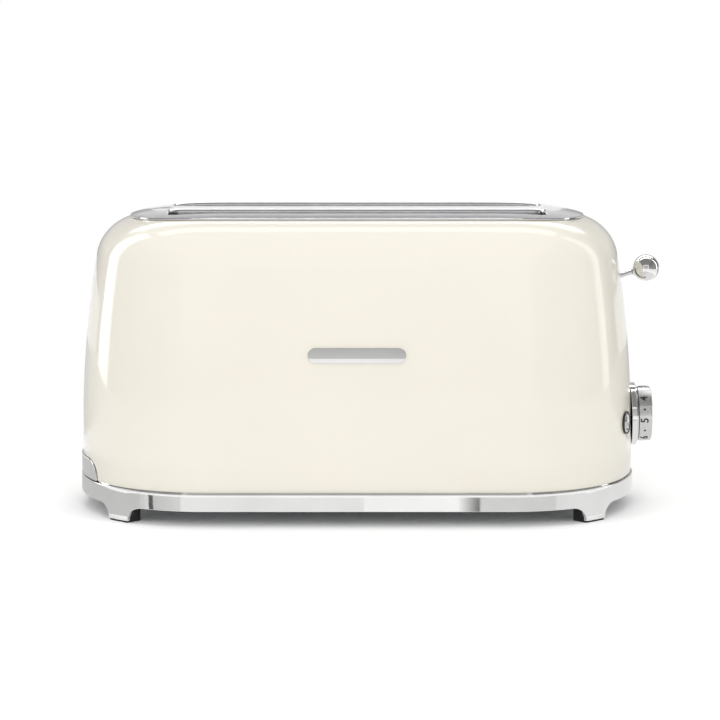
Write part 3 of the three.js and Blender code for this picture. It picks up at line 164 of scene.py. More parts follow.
class ToasterBodySizes(bpy.types.PropertyGroup):
    """The plan and the section of the shell, the band and the feet."""

    corner_setback: length("Corner setback", "From the corner arcs' centres to the long centre line",
                           0.016)
    end_sweep: angle("End sweep", "Half the angle of the flat arc at each end", 27)
    upright_height: length("Upright height", "Where the walls stand upright", 0.040)
    wall_radius: length("Wall radius", "Radius of the walls' long curve", 0.8)
    wall: length("Wall", "Thickness of the shell", 0.0012)
    shell_inset: length("Shell inset", "Of the shell's foot from the band's face", 0.0009)
    shoulder_height: length("Shoulder height", "Where the walls start to turn over", 0.170)
    end_shoulder: length("End shoulder", "Radius of the shoulder at the ends", 0.032)
    side_shoulder: length("Side shoulder", "Radius of the shoulder at the sides", 0.035)
    end_turn: angle("End turn", "Slope at which the shoulder meets the top plate at the ends", 75)
    side_turn: angle("Side turn", "Slope at which the shoulder meets the top plate at the sides", 75)
    band_bottom: length("Band bottom", "Height of the band's lower edge", 0.0107)
    band_top: length("Band top", "Height of the band's upper edge", 0.0225)
    band_edge: length("Band edge", "Radius of the band's edges", 0.0004)
    foot_angle: angle("Foot angle", "Direction of each foot round its corner", 46)
    foot_half_width: length("Foot half width", "Half the width of a foot where it stands", 0.009)
    foot_flare: length("Foot flare", "Half the width of a foot where it leaves the band", 0.0205)
    foot_clear: length("Foot clearance", "Height of a foot's metal over its pad", 0.0012)
    foot_skin: length("Foot skin", "Thickness of a foot's metal", 0.0025)
    band_wall: length("Band wall", "Thickness of the band", 0.0046)
    rib_inset: length("Rib inset", "Of the rib that locates the shell", 0.0024)
    ledge_bottom: length("Ledge bottom", "Height of the ledge's underside", 0.015)
    ledge_top: length("Ledge top", "Height of the ledge's upper side", 0.017)
    ledge_reach: length("Ledge reach", "How far in the ledge reaches", 0.013)
    tray_gap: length("Tray gap", "Half the gap in the rib for the crumb tray", 0.0564)
    arch_bottom: length("Arch bottom", "Half the width of the tray's front at its foot", 0.056)
    arch_top: length("Arch top", "Half the width of the tray's front at its top", 0.042)
    arch_gap: length("Arch gap", "Between the tray's front and the shell", 0.0004)
    arch_power: bpy.props.FloatProperty(
        name="Arch rounding", description="How squarely the arch's upper corners turn",
        default=2.2, min=1)


class ToasterTopSizes(bpy.types.PropertyGroup):
    """The polished top plate and its bread slots."""

    slot_half_length: length("Slot half length", "Half the length of a bread slot", 0.126)
    slot_width: length("Slot width", "Width of a bread slot", 0.034)
    slot_pitch: length("Slot pitch", "Between the middles of the two slots", 0.058)
    slot_corner: length("Slot corner", "Radius of a slot's corners", 0.008)
    roll: length("Rim roll", "Radius of the rolled rim round a slot", 0.0018)
    plate: length("Plate", "Thickness of the plate", 0.0012)
    gap: length("Gap", "Between the plate and the shell", 0.0003)


class ToasterControlSizes(bpy.types.PropertyGroup):
    """The dial, the buttons and the lever."""

    dial_radius: length("Dial radius", "Radius of the dial", 0.01875)
    dial_depth: length("Dial depth", "Depth of the dial", 0.009)
    bezel_radius: length("Bezel radius", "Radius of the ring behind the dial", 0.0213)
    bezel_depth: length("Bezel depth", "How far the ring stands out of the wall", 0.004)
    dial_gap: length("Dial gap", "Between the dial and its ring", 0.0005)
    mark_pitch: angle("Mark pitch", "Between two numbers on the dial", 46.8)
    grip_start: angle("Grip start", "Where the dial's grip starts, from the top", 22)
    grip_end: angle("Grip end", "Where the dial's grip ends, from the top", 69)
    number_height: length("Number height", "Height of the numbers", 0.0052)
    button_radius: length("Button radius", "Radius of a button", 0.0066)
    button_rim: length("Button rim", "Width of the dark rim round a button", 0.00085)
    ball_radius: length("Ball radius", "Radius of the lever's ball", 0.009)
    stem_radius: length("Stem radius", "Radius of the lever's stem", 0.0015)
    stem_rise: angle("Stem rise", "How the lever's stem rises outwards", 17)
    button_spread: length("Button spread", "Of a button from the middle of the end", 0.040)
    button_gap: length("Button gap", "Between a button and its rim", 0.0003)
    mark_turn: angle("Mark turn", "Of the number 3 from the top", 3.2)
    lever_slot: length("Lever slot", "Width of the lever's slot", 0.005)
    trim_border: length("Trim border", "Of the lever slot's lining behind the shell", 0.004)


class ToasterFinishes(bpy.types.PropertyGroup):
    """The colours of the finishes."""

    enamel: colour("Enamel", "The shell's cream enamel", (0.93, 0.89, 0.785))
    bright: colour("Bright metal", "Polished band and chrome", (0.86, 0.86, 0.85))
    plate: colour("Top plate", "Polished steel of the top plate", (0.83, 0.82, 0.83))
    sheet: colour("Sheet steel", "Plain steel of the chassis", (0.42, 0.43, 0.44))
    dark: colour("Dark plastic", "Rims, trims and rubber", (0.018, 0.018, 0.02))
    mica: colour("Mica", "The heater boards", (0.42, 0.34, 0.22))
    board: colour("Control board", "The circuit board", (0.02, 0.13, 0.05))
    copper: colour("Copper", "The electromagnet's winding", (0.55, 0.2, 0.07))


class ToasterStudio(bpy.types.PropertyGroup):
    """The camera and the lights."""

    distance: length("Distance", "From the camera to the middle of the toaster", 2.0)
    height: length("Height", "Of the camera over the worktop", 0.371)
    pitch: angle("Pitch", "How far the camera looks down", 7.8)
    lens: bpy.props.FloatProperty(name="Lens", description="Focal length in millimetres",
                                  default=148, min=20)
    top_power: bpy.props.FloatProperty(name="Top light", description="Power of the light above",
                                       default=7, min=0)
    side_power: bpy.props.FloatProperty(name="Side lights", description="Power of each side light",
                                        default=4, min=0)
    front_power: bpy.props.FloatProperty(name="Front light", description="Power of the front light",
                                         default=16, min=0)
    sideways: length("Sideways", "Of the camera from the middle of the toaster", 0.002)
    floor_glow: bpy.props.FloatProperty(
        name="Floor glow", description="Brightness that the camera sees in the floor's shadows",
        default=0.01, min=0)
    floor_white: bpy.props.FloatProperty(
        name="Floor white", description="How strongly the camera sees the light on the floor",
        default=1.25, min=0)
    world_light: bpy.props.FloatProperty(
        name="World light", description="Strength of the world as a light", default=0.5, min=0)
    shadow_reach: length("Shadow reach", "How far round the toaster the floor is lit and shadowed",
                         0.36)


def settings(group):
    """One group of the scene's settings."""
    return getattr(bpy.context.scene, "toaster_" + group)


# --- Working on meshes ------------------------------------------------------------------------------


def select_only(*objects):
    """Deselects everything and selects these objects, the last one active."""
    bpy.ops.object.select_all(action="DESELECT")
    for o in objects:
        o.select_set(True)
        bpy.context.view_layer.objects.active = o


def apply_modifiers(o):
    """Applies a piece's modifiers in their order."""
    select_only(o)
    for modifier in list(o.modifiers):
        bpy.ops.object.modifier_apply(modifier=modifier.name)


def object_from(name, points, faces):
    """An object from points and faces, merged and with its faces turned outwards."""
    mesh = bpy.data.meshes.new(name)
    mesh.from_pydata([tuple(p) for p in points], [], faces)
    made = bmesh.new()
    made.from_mesh(mesh)
    bmesh.ops.remove_doubles(made, verts=made.verts, dist=1e-6)
    bmesh.ops.recalc_face_normals(made, faces=made.faces)
    made.to_mesh(mesh)
    made.free()
    o = bpy.data.objects.new(name, mesh)
    bpy.context.scene.collection.objects.link(o)
    return o


def skin(name, rings, closed_profile=True):
    """A quad skin through rings of equal length that each go once round the body."""
    rings = np.asarray(rings, float)
    count, around = rings.shape[:2]
    faces = []
    last = count if closed_profile else count - 1
    for i in range(last):
        a, b = i * around, ((i + 1) % count) * around
        for j in range(around):
            k = (j + 1) % around
            faces.append((a + j, a + k, b + k, b + j))
    return object_from(name, rings.reshape(-1, 3), faces)


def spun(name, profile, steps=72):
    """A solid turned about +X: one vertex is extruded along (along X, radius) points and spun."""
    bpy.ops.object.select_all(action="DESELECT")
    bpy.ops.mesh.primitive_plane_add(size=0.01)
    o = bpy.context.object
    o.name = o.data.name = name
    bpy.ops.object.mode_set(mode="EDIT")
    bpy.ops.mesh.select_all(action="SELECT")
    bpy.ops.mesh.merge(type="CENTER")
    bpy.ops.mesh.select_all(action="SELECT")
    place = Vector((0, 0, 0))
    for i, (along, radius) in enumerate(profile):
        target = Vector((along, 0, radius))
        step = tuple(target - place)
        if i == 0:
            bpy.ops.transform.translate(value=step)
        else:
            bpy.ops.mesh.extrude_region_move(TRANSFORM_OT_translate={"value": step})
        place = target
    bpy.ops.mesh.select_all(action="SELECT")
    bpy.ops.mesh.spin(steps=steps, angle=2 * math.pi, center=(0, 0, 0), axis=(1, 0, 0))
    bpy.ops.mesh.select_all(action="SELECT")
    bpy.ops.mesh.remove_doubles(threshold=1e-6)
    bpy.ops.mesh.normals_make_consistent(inside=False)
    bpy.ops.object.mode_set(mode="OBJECT")
    return o


def placed(o, matrix):
    """Moves a piece by moving its mesh, so that its object stays at the origin."""
    o.data.transform(matrix)
    if matrix.determinant() < 0:
        o.data.flip_normals()
    o.data.update()
    return o


def smooth(o, degrees=35):
    select_only(o)
    bpy.ops.object.shade_smooth_by_angle(angle=math.radians(degrees))
    return o


def bevelled(o, width, segments=3, degrees=30):
    bevel = o.modifiers.new("edges", "BEVEL")
    bevel.width = width
    bevel.segments = segments
    bevel.limit_method = "ANGLE"
    bevel.angle_limit = math.radians(degrees)
    apply_modifiers(o)
    return o


def joined(first, *others):
    select_only(*others, first)
    bpy.ops.object.join()
    return first


def cut_by(o, *cutters):
    """Cuts closed solids out of a piece and removes them."""
    for cutter in cutters:
        boolean = o.modifiers.new("cut", "BOOLEAN")
        boolean.operation = "DIFFERENCE"
        boolean.solver = "EXACT"
        boolean.object = cutter
    apply_modifiers(o)
    for cutter in cutters:
        bpy.data.objects.remove(cutter)
    return o


def cube(low, high):
    """A box between two corners, as an object whose place is in its mesh."""
    bpy.ops.object.select_all(action="DESELECT")
    low, high = Vector(low), Vector(high)
    bpy.ops.mesh.primitive_cube_add(size=1, location=(low + high) / 2)
    o = bpy.context.object
    o.scale = high - low
    bpy.ops.object.transform_apply(location=True, rotation=True, scale=True)
    return o


def rod(start, end, radius, vertices=16):
    """A round bar between two points."""
    start, end = Vector(start), Vector(end)
    bpy.ops.object.select_all(action="DESELECT")
    bpy.ops.mesh.primitive_cylinder_add(vertices=vertices, radius=radius,
                                        depth=(end - start).length)
    o = bpy.context.object
    turn = Vector((0, 0, 1)).rotation_difference(end - start).to_matrix().to_4x4()
    return placed(o, Matrix.Translation((start + end) / 2) @ turn)


# --- The body's outline and section ------------------------------------------------------------------


def outline():
    """Points and normals of the band's plan, once round against the clock from the +X end."""
    sizes = settings("body")
    sweep = sizes.end_sweep
    corner_radius = HALF_DEPTH - sizes.corner_setback
    end_radius = corner_radius + sizes.corner_setback / math.sin(sweep)
    end_x = HALF_LENGTH - end_radius
    corner_x = end_x + (end_radius - corner_radius) * math.cos(sweep)
    flare = sizes.foot_flare / corner_radius
    inner = (sizes.foot_flare - sizes.foot_half_width) / corner_radius
    foot = [flare - inner * math.cos(t) for t in np.linspace(0, math.pi / 2, 9)]
    foot_turns = [sizes.foot_angle - f for f in reversed(foot)]
    foot_turns += list(sizes.foot_angle + np.linspace(-foot[0], foot[0], 9)[1:-1])
    foot_turns += [sizes.foot_angle + f for f in foot]
    quarter = [(end_x + end_radius * math.cos(t), end_radius * math.sin(t), t)
               for t in np.linspace(0, sweep, 16, endpoint=False)]
    turns = list(np.linspace(sweep, foot_turns[0], 4, endpoint=False)) + foot_turns
    turns += list(np.linspace(foot_turns[-1], math.pi / 2, 14, endpoint=False)[1:])
    for t in turns:
        quarter.append((corner_x + corner_radius * math.cos(t),
                        sizes.corner_setback + corner_radius * math.sin(t), t))
    for x in np.linspace(corner_x, 0, 12, endpoint=False):
        quarter.append((x, HALF_DEPTH, math.pi / 2))
    first = [(x, y, math.cos(t), math.sin(t)) for x, y, t in quarter]
    middle = [(0, HALF_DEPTH, 0, 1)]
    back = [(-x, y, -nx, ny) for x, y, nx, ny in first]
    half = first + middle + back[1:][::-1]
    front = [(x, -y, nx, -ny) for x, y, nx, ny in half[1:]][::-1]
    return np.array(half + [back[0]] + front)


def inset_ring(plan, inset, z):
    """The outline moved in by an inset, at a height; both may differ from point to point."""
    x = plan[:, 0] - inset * plan[:, 2] + MIDDLE_X
    y = plan[:, 1] - inset * plan[:, 3]
    return np.stack([x, y, np.broadcast_to(z, x.shape)], axis=1)


def wall_inset(z):
    """How far inside the band's face the shell's long curve lies at a height."""
    sizes = settings("body")
    radius = sizes.wall_radius
    return sizes.shell_inset + radius - np.sqrt(radius**2 - (z - sizes.upright_height) ** 2)


def wall_tilt(z):
    """How far the wall leans in from upright at a height."""
    sizes = settings("body")
    return math.asin((z - sizes.upright_height) / sizes.wall_radius)


def shoulder_ring(plan, share, depth):
    """A ring on the shoulder, depth inside its face: share 0 on the wall, 1 at the top plate."""
    sizes = settings("body")
    side = plan[:, 3] ** 2
    radius = sizes.end_shoulder + (sizes.side_shoulder - sizes.end_shoulder) * side
    first = wall_tilt(sizes.shoulder_height)
    last = sizes.end_turn + (sizes.side_turn - sizes.end_turn) * side
    turn = first + (last - first) * share
    inset = wall_inset(sizes.shoulder_height) + radius * (math.cos(first) - np.cos(turn))
    z = sizes.shoulder_height + radius * (np.sin(turn) - math.sin(first))
    return inset_ring(plan, inset + depth * np.cos(turn), z - depth * np.sin(turn))


def crown_height(plan, points):
    """The height of the top plate's crown over points of its plan.

    The crown rises from the plate's edge to a level middle round the slots, so each point is
    followed inwards until its share of that way is found.
    """
    top = settings("top")
    edge = shoulder_ring(plan, 1.0, 0.0)
    edge_x, edge_y = edge[:, 0] - MIDDLE_X, edge[:, 1]
    bearings = np.arctan2(edge_y / edge_y.max(), edge_x / edge_x.max())
    order = np.argsort(bearings)
    bearings = bearings[order]
    reach = np.hypot(edge_x, edge_y)[order]
    heights = edge[order, 2] + top.gap + top.plate
    crest = np.array([top.slot_half_length / edge_x.max(),
                      (top.slot_pitch + top.slot_width) / 2 / edge_y.max()])
    x, y = points[:, 0] - MIDDLE_X, points[:, 1]

    def outside(share):
        sx = x / (1 + (crest[0] - 1) * share)
        sy = y / (1 + (crest[1] - 1) * share)
        at = np.arctan2(sy / edge_y.max(), sx / edge_x.max())
        limit = np.interp(at, bearings, reach, period=2 * math.pi)
        return np.hypot(sx, sy) > limit, np.interp(at, bearings, heights, period=2 * math.pi)

    low, high = np.zeros(len(points)), np.ones(len(points))
    for _ in range(24):
        middle = (low + high) / 2
        is_outside, _ = outside(middle)
        high = np.where(is_outside, middle, high)
        low = np.where(is_outside, low, middle)
    _, edge_z = outside(low)
    share = np.where(low > 1 - 1e-5, 1.0, low)
    rise = 1 - (1 - share) ** 2
    return edge_z + (PLATE_HIGH.z - edge_z) * rise


def wall_place(y, z):
    """The frame on the end wall at a place across it, with +X pointing straight out."""
    sizes = settings("body")
    corner_radius = HALF_DEPTH - sizes.corner_setback
    end_radius = corner_radius + sizes.corner_setback / math.sin(sizes.end_sweep)
    radius = end_radius - wall_inset(z)
    turn = math.asin(y / radius)
    x = MIDDLE_X + HALF_LENGTH - end_radius + radius * math.cos(turn)
    lean = Matrix.Rotation(-wall_tilt(z), 4, "Y")
    return Matrix.Translation((x, y, z)) @ Matrix.Rotation(turn, 4, "Z") @ lean


# --- Finishes ---------------------------------------------------------------------------------------


class Finish:
    """A material whose nodes are added step by step."""

    def __init__(self, name, colour_value, metallic, roughness, **sockets):
        self.material = bpy.data.materials.new(name)
        self.material.use_nodes = True
        self.nodes = self.material.node_tree.nodes
        self.links = self.material.node_tree.links
        self.shader = self.nodes["Principled BSDF"]
        self.base = (*colour_value, 1)
        self.rough = roughness
        self.shader.inputs["Base Color"].default_value = self.base
        self.shader.inputs["Metallic"].default_value = metallic
        self.shader.inputs["Roughness"].default_value = roughness
        for socket, value in sockets.items():
            self.shader.inputs[socket.replace("_", " ")].default_value = value
        self.place = self.nodes.new("ShaderNodeTexCoord").outputs["Object"]

    def noise(self, scale, stretch=(1, 1, 1), detail=4.0):
        mapping = self.nodes.new("ShaderNodeMapping")
        mapping.inputs["Scale"].default_value = stretch
        self.links.new(self.place, mapping.inputs["Vector"])
        noise = self.nodes.new("ShaderNodeTexNoise")
        noise.inputs["Scale"].default_value = scale
        noise.inputs["Detail"].default_value = detail
        self.links.new(mapping.outputs["Vector"], noise.inputs["Vector"])
        return noise.outputs["Fac"]

    def cells(self, scale, stretch=(1, 1, 1)):
        mapping = self.nodes.new("ShaderNodeMapping")
        mapping.inputs["Scale"].default_value = stretch
        self.links.new(self.place, mapping.inputs["Vector"])
        cells = self.nodes.new("ShaderNodeTexVoronoi")
        cells.inputs["Scale"].default_value = scale
        self.links.new(mapping.outputs["Vector"], cells.inputs["Vector"])
        return cells.outputs["Distance"]

    def waves(self, scale, direction="Z", distortion=0.4):
        waves = self.nodes.new("ShaderNodeTexWave")
        waves.bands_direction = direction
        waves.inputs["Scale"].default_value = scale
        waves.inputs["Distortion"].default_value = distortion
        self.links.new(self.place, waves.inputs["Vector"])
        return waves.outputs["Fac"]

    def spread(self, value, low, high, start=0.3, end=0.7):
        spread = self.nodes.new("ShaderNodeMapRange")
        spread.inputs["From Min"].default_value = start
        spread.inputs["From Max"].default_value = end
        spread.inputs["To Min"].default_value = low
        spread.inputs["To Max"].default_value = high
        self.links.new(value, spread.inputs["Value"])
        return spread.outputs["Result"]

    def vary_roughness(self, value, amount):
        result = self.spread(value, max(self.rough - amount, 0.02), self.rough + amount)
        self.links.new(result, self.shader.inputs["Roughness"])
        return self

    def vary_colour(self, value, other, start=0.35, end=0.65):
        mix = self.nodes.new("ShaderNodeMix")
        mix.data_type = "RGBA"
        mix.inputs["A"].default_value = self.base
        mix.inputs["B"].default_value = (*other, 1)
        self.links.new(self.spread(value, 0, 1, start, end), mix.inputs["Factor"])
        self.links.new(mix.outputs["Result"], self.shader.inputs["Base Color"])
        return self

    def bump(self, value, strength, distance):
        bump = self.nodes.new("ShaderNodeBump")
        bump.inputs["Strength"].default_value = strength
        bump.inputs["Distance"].default_value = distance
        self.links.new(value, bump.inputs["Height"])
        self.links.new(bump.outputs["Normal"], self.shader.inputs["Normal"])
        return self


def shade(colour_value, factor):
    """A colour made darker or lighter by a factor."""
    return tuple(min(c * factor, 1) for c in colour_value)


def enamel_finish():
    """Fired cream enamel: a clear wet gloss over a faintly mottled ground, with a soft ripple."""
    base = settings("finish").enamel
    finish = Finish("cream_enamel", base, 0, 0.3, Specular_IOR_Level=0.1, Coat_Weight=0.9,
                    Coat_Roughness=0.035, Coat_IOR=1.5)
    finish.vary_colour(finish.noise(9, detail=2), shade(base, 0.985))
    finish.vary_roughness(finish.noise(25, detail=1), 0.02)
    finish.bump(finish.noise(160, detail=1), 0.02, 0.0001)
    return finish.material


def polished_finish(name, base, roughness, grain=(1, 1, 1), scale=900):
    """Polished metal with faint polishing lines and a little cloudiness."""
    finish = Finish(name, base, 1, roughness)
    finish.vary_colour(finish.noise(30), shade(base, 0.94))
    finish.vary_roughness(finish.noise(scale, grain, detail=3), roughness * 0.45)
    finish.bump(finish.noise(scale, grain, detail=2), 0.03, 0.00003)
    return finish.material


def sheet_finish(name, base, roughness, grain):
    """Rolled sheet steel with long brushed lines."""
    finish = Finish(name, base, 1, roughness)
    finish.vary_colour(finish.noise(12), shade(base, 0.92))
    finish.vary_roughness(finish.noise(900, grain), 0.03)
    finish.bump(finish.noise(1400, grain, detail=2), 0.06, 0.00003)
    return finish.material


def rubber_finish():
    base = settings("finish").dark
    finish = Finish("rubber", base, 0, 0.75)
    finish.vary_colour(finish.noise(120), shade(base, 1.7))
    finish.vary_roughness(finish.noise(300), 0.1)
    finish.bump(finish.noise(1400, detail=2), 0.4, 0.0001)
    return finish.material


def plastic_finish():
    base = settings("finish").dark
    finish = Finish("dark_plastic", base, 0, 0.35)
    finish.vary_colour(finish.noise(80), shade(base, 1.5))
    finish.vary_roughness(finish.noise(400), 0.1)
    finish.bump(finish.cells(1500), 0.15, 0.00005)
    return finish.material


def mica_finish():
    """Pressed mica with glinting flakes and warm mottling."""
    base = settings("finish").mica
    finish = Finish("mica", base, 0, 0.5, Sheen_Weight=0.1)
    finish.vary_colour(finish.cells(220), shade(base, 0.6), 0.1, 0.6)
    finish.vary_roughness(finish.cells(420), 0.18)
    finish.bump(finish.cells(300), 0.25, 0.0001)
    return finish.material


def heater_finish():
    """Resistance ribbon with the grey brown skin that heat leaves."""
    finish = Finish("heater_ribbon", (0.2, 0.17, 0.15), 1, 0.5)
    finish.vary_colour(finish.noise(90, (1, 1, 4)), (0.09, 0.06, 0.05))
    finish.vary_roughness(finish.noise(300), 0.12)
    finish.bump(finish.noise(900), 0.2, 0.00005)
    return finish.material


def board_finish():
    base = settings("finish").board
    finish = Finish("circuit_board", base, 0, 0.38, Coat_Weight=0.3)
    finish.vary_colour(finish.waves(260, "Y", 0.1), shade(base, 0.55), 0.45, 0.55)
    finish.vary_roughness(finish.noise(200), 0.08)
    finish.bump(finish.waves(260, "Y", 0.1), 0.1, 0.00005)
    return finish.material


def copper_finish():
    """Enamelled copper wire wound in close turns."""
    base = settings("finish").copper
    finish = Finish("copper_winding", base, 1, 0.32)
    finish.vary_colour(finish.waves(620), shade(base, 0.45))
    finish.vary_roughness(finish.noise(200), 0.08)
    finish.bump(finish.waves(620), 0.6, 0.0002)
    return finish.material


def iron_finish():
    finish = Finish("iron", (0.13, 0.13, 0.135), 1, 0.5)
    finish.vary_colour(finish.noise(60), (0.07, 0.07, 0.075))
    finish.vary_roughness(finish.noise(300), 0.12)
    finish.bump(finish.noise(500), 0.2, 0.0001)
    return finish.material


def ink_finish():
    finish = Finish("black_print", (0.012, 0.012, 0.012), 0, 0.45)
    finish.vary_colour(finish.noise(900), (0.03, 0.03, 0.03))
    finish.vary_roughness(finish.noise(600), 0.1)
    return finish.material


def dial_finish():
    """Satin chrome turned in the lathe: fine rings round the dial's axis."""
    base = settings("finish").bright
    finish = Finish("satin_chrome", shade(base, 0.85), 1, 0.24)
    finish.vary_colour(finish.noise(60), shade(base, 0.8))
    finish.vary_roughness(finish.noise(700, (6, 1, 1), detail=3), 0.07)
    finish.bump(finish.noise(1500, (8, 0.4, 0.4), detail=2), 0.08, 0.00004)
    return finish.material


def grip_finish():
    """Fine blasted metal of the dial's grip and the lever's stem."""
    base = shade(settings("finish").bright, 0.9)
    finish = Finish("grip_chrome", base, 1, 0.38)
    finish.vary_colour(finish.noise(200), shade(base, 0.85))
    finish.vary_roughness(finish.noise(900), 0.08)
    finish.bump(finish.noise(2500, detail=1), 0.15, 0.00003)
    return finish.material


def finish_named(name):
    """A finish by name, made the first time that it is asked for."""
    if name in FINISHED:
        return FINISHED[name]
    finishes = settings("finish")
    makers = {
        "cream_enamel": enamel_finish,
        "rubber": rubber_finish,
        "dark_plastic": plastic_finish,
        "mica": mica_finish,
        "heater_ribbon": heater_finish,
        "circuit_board": board_finish,
        "copper_winding": copper_finish,
        "iron": iron_finish,
        "black_print": ink_finish,
        "satin_chrome": dial_finish,
        "grip_chrome": grip_finish,
        "polished_plate": lambda: polished_finish(
            "polished_plate", finishes.plate, 0.12, (0.15, 2, 1)),
        "polished_band": lambda: polished_finish("polished_band", finishes.bright, 0.07),
        "chrome": lambda: polished_finish("chrome", finishes.bright, 0.045),
        "wire": lambda: polished_finish("wire", finishes.sheet, 0.2),
        "sheet_steel": lambda: sheet_finish("sheet_steel", finishes.sheet, 0.34, (0.06, 1, 1)),
        "upright_steel": lambda: sheet_finish("upright_steel", finishes.sheet, 0.34, (1, 1, 0.06)),
        "reflector_steel": lambda: sheet_finish(
            "reflector_steel", shade(finishes.sheet, 1.4), 0.22, (0.06, 1, 1)),
    }
    FINISHED[name] = makers[name]()
    return FINISHED[name]


def dressed(o, finish):
    """Gives an object one of the finishes, and nothing else."""
    o.data.materials.clear()
    o.data.materials.append(finish_named(finish))
    return o


def installed(o, finish, body, slot, *nodes):
    """Gives a finished piece its finish and its body, and hides the CAD nodes it stands for; the slot
    is not used.
    """
    dressed(o, finish)
    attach(o, body)
    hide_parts(*nodes)
    return o


def frame_joint(name):
    """One of the frame's joints, by name."""
    return next(joint for joint in frame["joints"] if joint["name"] == name)


# --- Cutters for the shell's openings -----------------------------------------------------------------


def prism_along_x(name, section, start, end):
    """A solid with one (y, z) section all the way from start to end along X."""
    count = len(section)
    points = [(x, y, z) for x in (start, end) for y, z in section]
    faces = [tuple(range(count)), tuple(range(count, 2 * count))]
    faces += [(i, (i + 1) % count, count + (i + 1) % count, count + i) for i in range(count)]
    return object_from(name, points, faces)


def stadium(half_width, half_height, middle):
    """The (y, z) outline of an upright slot with round ends."""
    straight = half_height - half_width
    upper = [(half_width * math.cos(t), middle + straight + half_width * math.sin(t))
             for t in np.linspace(0, math.pi, 13)]
    return upper + [(-y, 2 * middle - z) for y, z in upper]


def arch_half_width(low, high, z):
    """Half the width of the tray's front at a height; its upper corners are rounded over."""
    sizes = settings("body")
    share = np.clip((z - low) / (high - low), 0, 1)
    rounding = (1 - share**sizes.arch_power) ** (1 / sizes.arch_power)
    return sizes.arch_top + (sizes.arch_bottom - sizes.arch_top) * rounding


def arch_cutter():
    """The arch that the crumb tray's front closes, open at its foot."""
    sizes = settings("body")
    low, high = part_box("crumb_tray_front")
    heights = np.linspace(low.z, high.z, 14)
    widths = arch_half_width(low.z, high.z, heights) + sizes.arch_gap
    side = [(w, z + sizes.arch_gap) for w, z in zip(widths, heights)]
    foot = [(widths[0], low.z - THROUGH)]
    right = foot + side
    section = right + [(-y, z) for y, z in reversed(right)]
    return prism_along_x("arch", section, low.x - THROUGH, high.x + THROUGH)


def lever_slot_cutter():
    """The upright slot that the lever runs in."""
    sizes = settings("controls")
    low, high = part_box("lever_slot_trim")
    half_height = (high.z - low.z) / 2 - sizes.trim_border
    section = stadium(sizes.lever_slot / 2, half_height, (low.z + high.z) / 2)
    return prism_along_x("lever_slot", section, low.x - THROUGH, MIDDLE_X + HALF_LENGTH)


def hole_cutter(radius, place):
    """A round hole through the end wall at a place on it."""
    reach = 8 * MM
    profile = [(-reach, 0), (-reach, radius), (reach, radius), (reach, 0)]
    return placed(spun("hole", profile), place)


# --- Pieces: the body -----------------------------------------------------------------------------


class TOASTER_OT_shell(bpy.types.Operator):
    """Makes the deep drawn enamelled shell with its hemmed foot and its openings"""

    bl_idname = "toaster.shell"
    bl_label = "Body shell"

    def execute(self, context):
        sizes = settings("body")
        controls = settings("controls")
        plan = outline()
        roll = sizes.wall / 2
        foot = SHELL_LOW.z
        outer = [inset_ring(plan, wall_inset(z), z)
                 for z in np.linspace(foot + roll, sizes.shoulder_height, WALL_RINGS)]
        outer += [shoulder_ring(plan, s, 0.0) for s in np.linspace(0, 1, SHOULDER_RINGS)[1:]]
        inner = [inset_ring(plan, wall_inset(z) + sizes.wall, z)
                 for z in np.linspace(foot + roll, sizes.shoulder_height, INNER_WALL_RINGS)]
        inner += [shoulder_ring(plan, s, sizes.wall)
                  for s in np.linspace(0, 1, INNER_SHOULDER_RINGS)[1:]]
        hem = [inset_ring(plan, wall_inset(foot) + roll * (1 + math.cos(t)),
                          foot + roll * (1 - math.sin(t)))
               for t in np.linspace(0, math.pi, HEM_RINGS)[1:-1]]
        lip = self.lip(plan)
        under = [ring - (0, 0, sizes.wall) for ring in reversed(lip)]
        shell = skin("enamel_shell", outer + lip + under + inner[::-1] + hem)
        dial_z = frame_joint("dial_turn")["pos_m"][2]
        rim = controls.button_radius + controls.button_gap + controls.button_rim - BUTTON_LAP
        spread = controls.button_spread
        cut_by(shell, lever_slot_cutter(), arch_cutter(),
               hole_cutter(controls.bezel_radius - BEZEL_LAP, wall_place(0, dial_z)),
               hole_cutter(rim, wall_place(-spread, dial_z)),
               hole_cutter(rim, wall_place(spread, dial_z)))
        smooth(shell, 40)
        installed(shell, "cream_enamel", "housing", "cream_enamel", "body_shell")
        return {"FINISHED"}

    def lip(self, plan):
        """The narrow lip that the shell turns in under the top plate."""
        top = settings("top")
        edge = shoulder_ring(plan, 1.0, 0.0)
        rings = []
        for share in LIP_SHARES:
            ring = edge.copy()
            ring[:, 0] = MIDDLE_X + (edge[:, 0] - MIDDLE_X) * (1 - share)
            ring[:, 1] = edge[:, 1] * (1 - share * edge[:, 0].max() / edge[:, 1].max() / 2)
            ring[:, 2] = crown_height(plan, ring) - top.gap - top.plate
            rings.append(ring)
        return rings


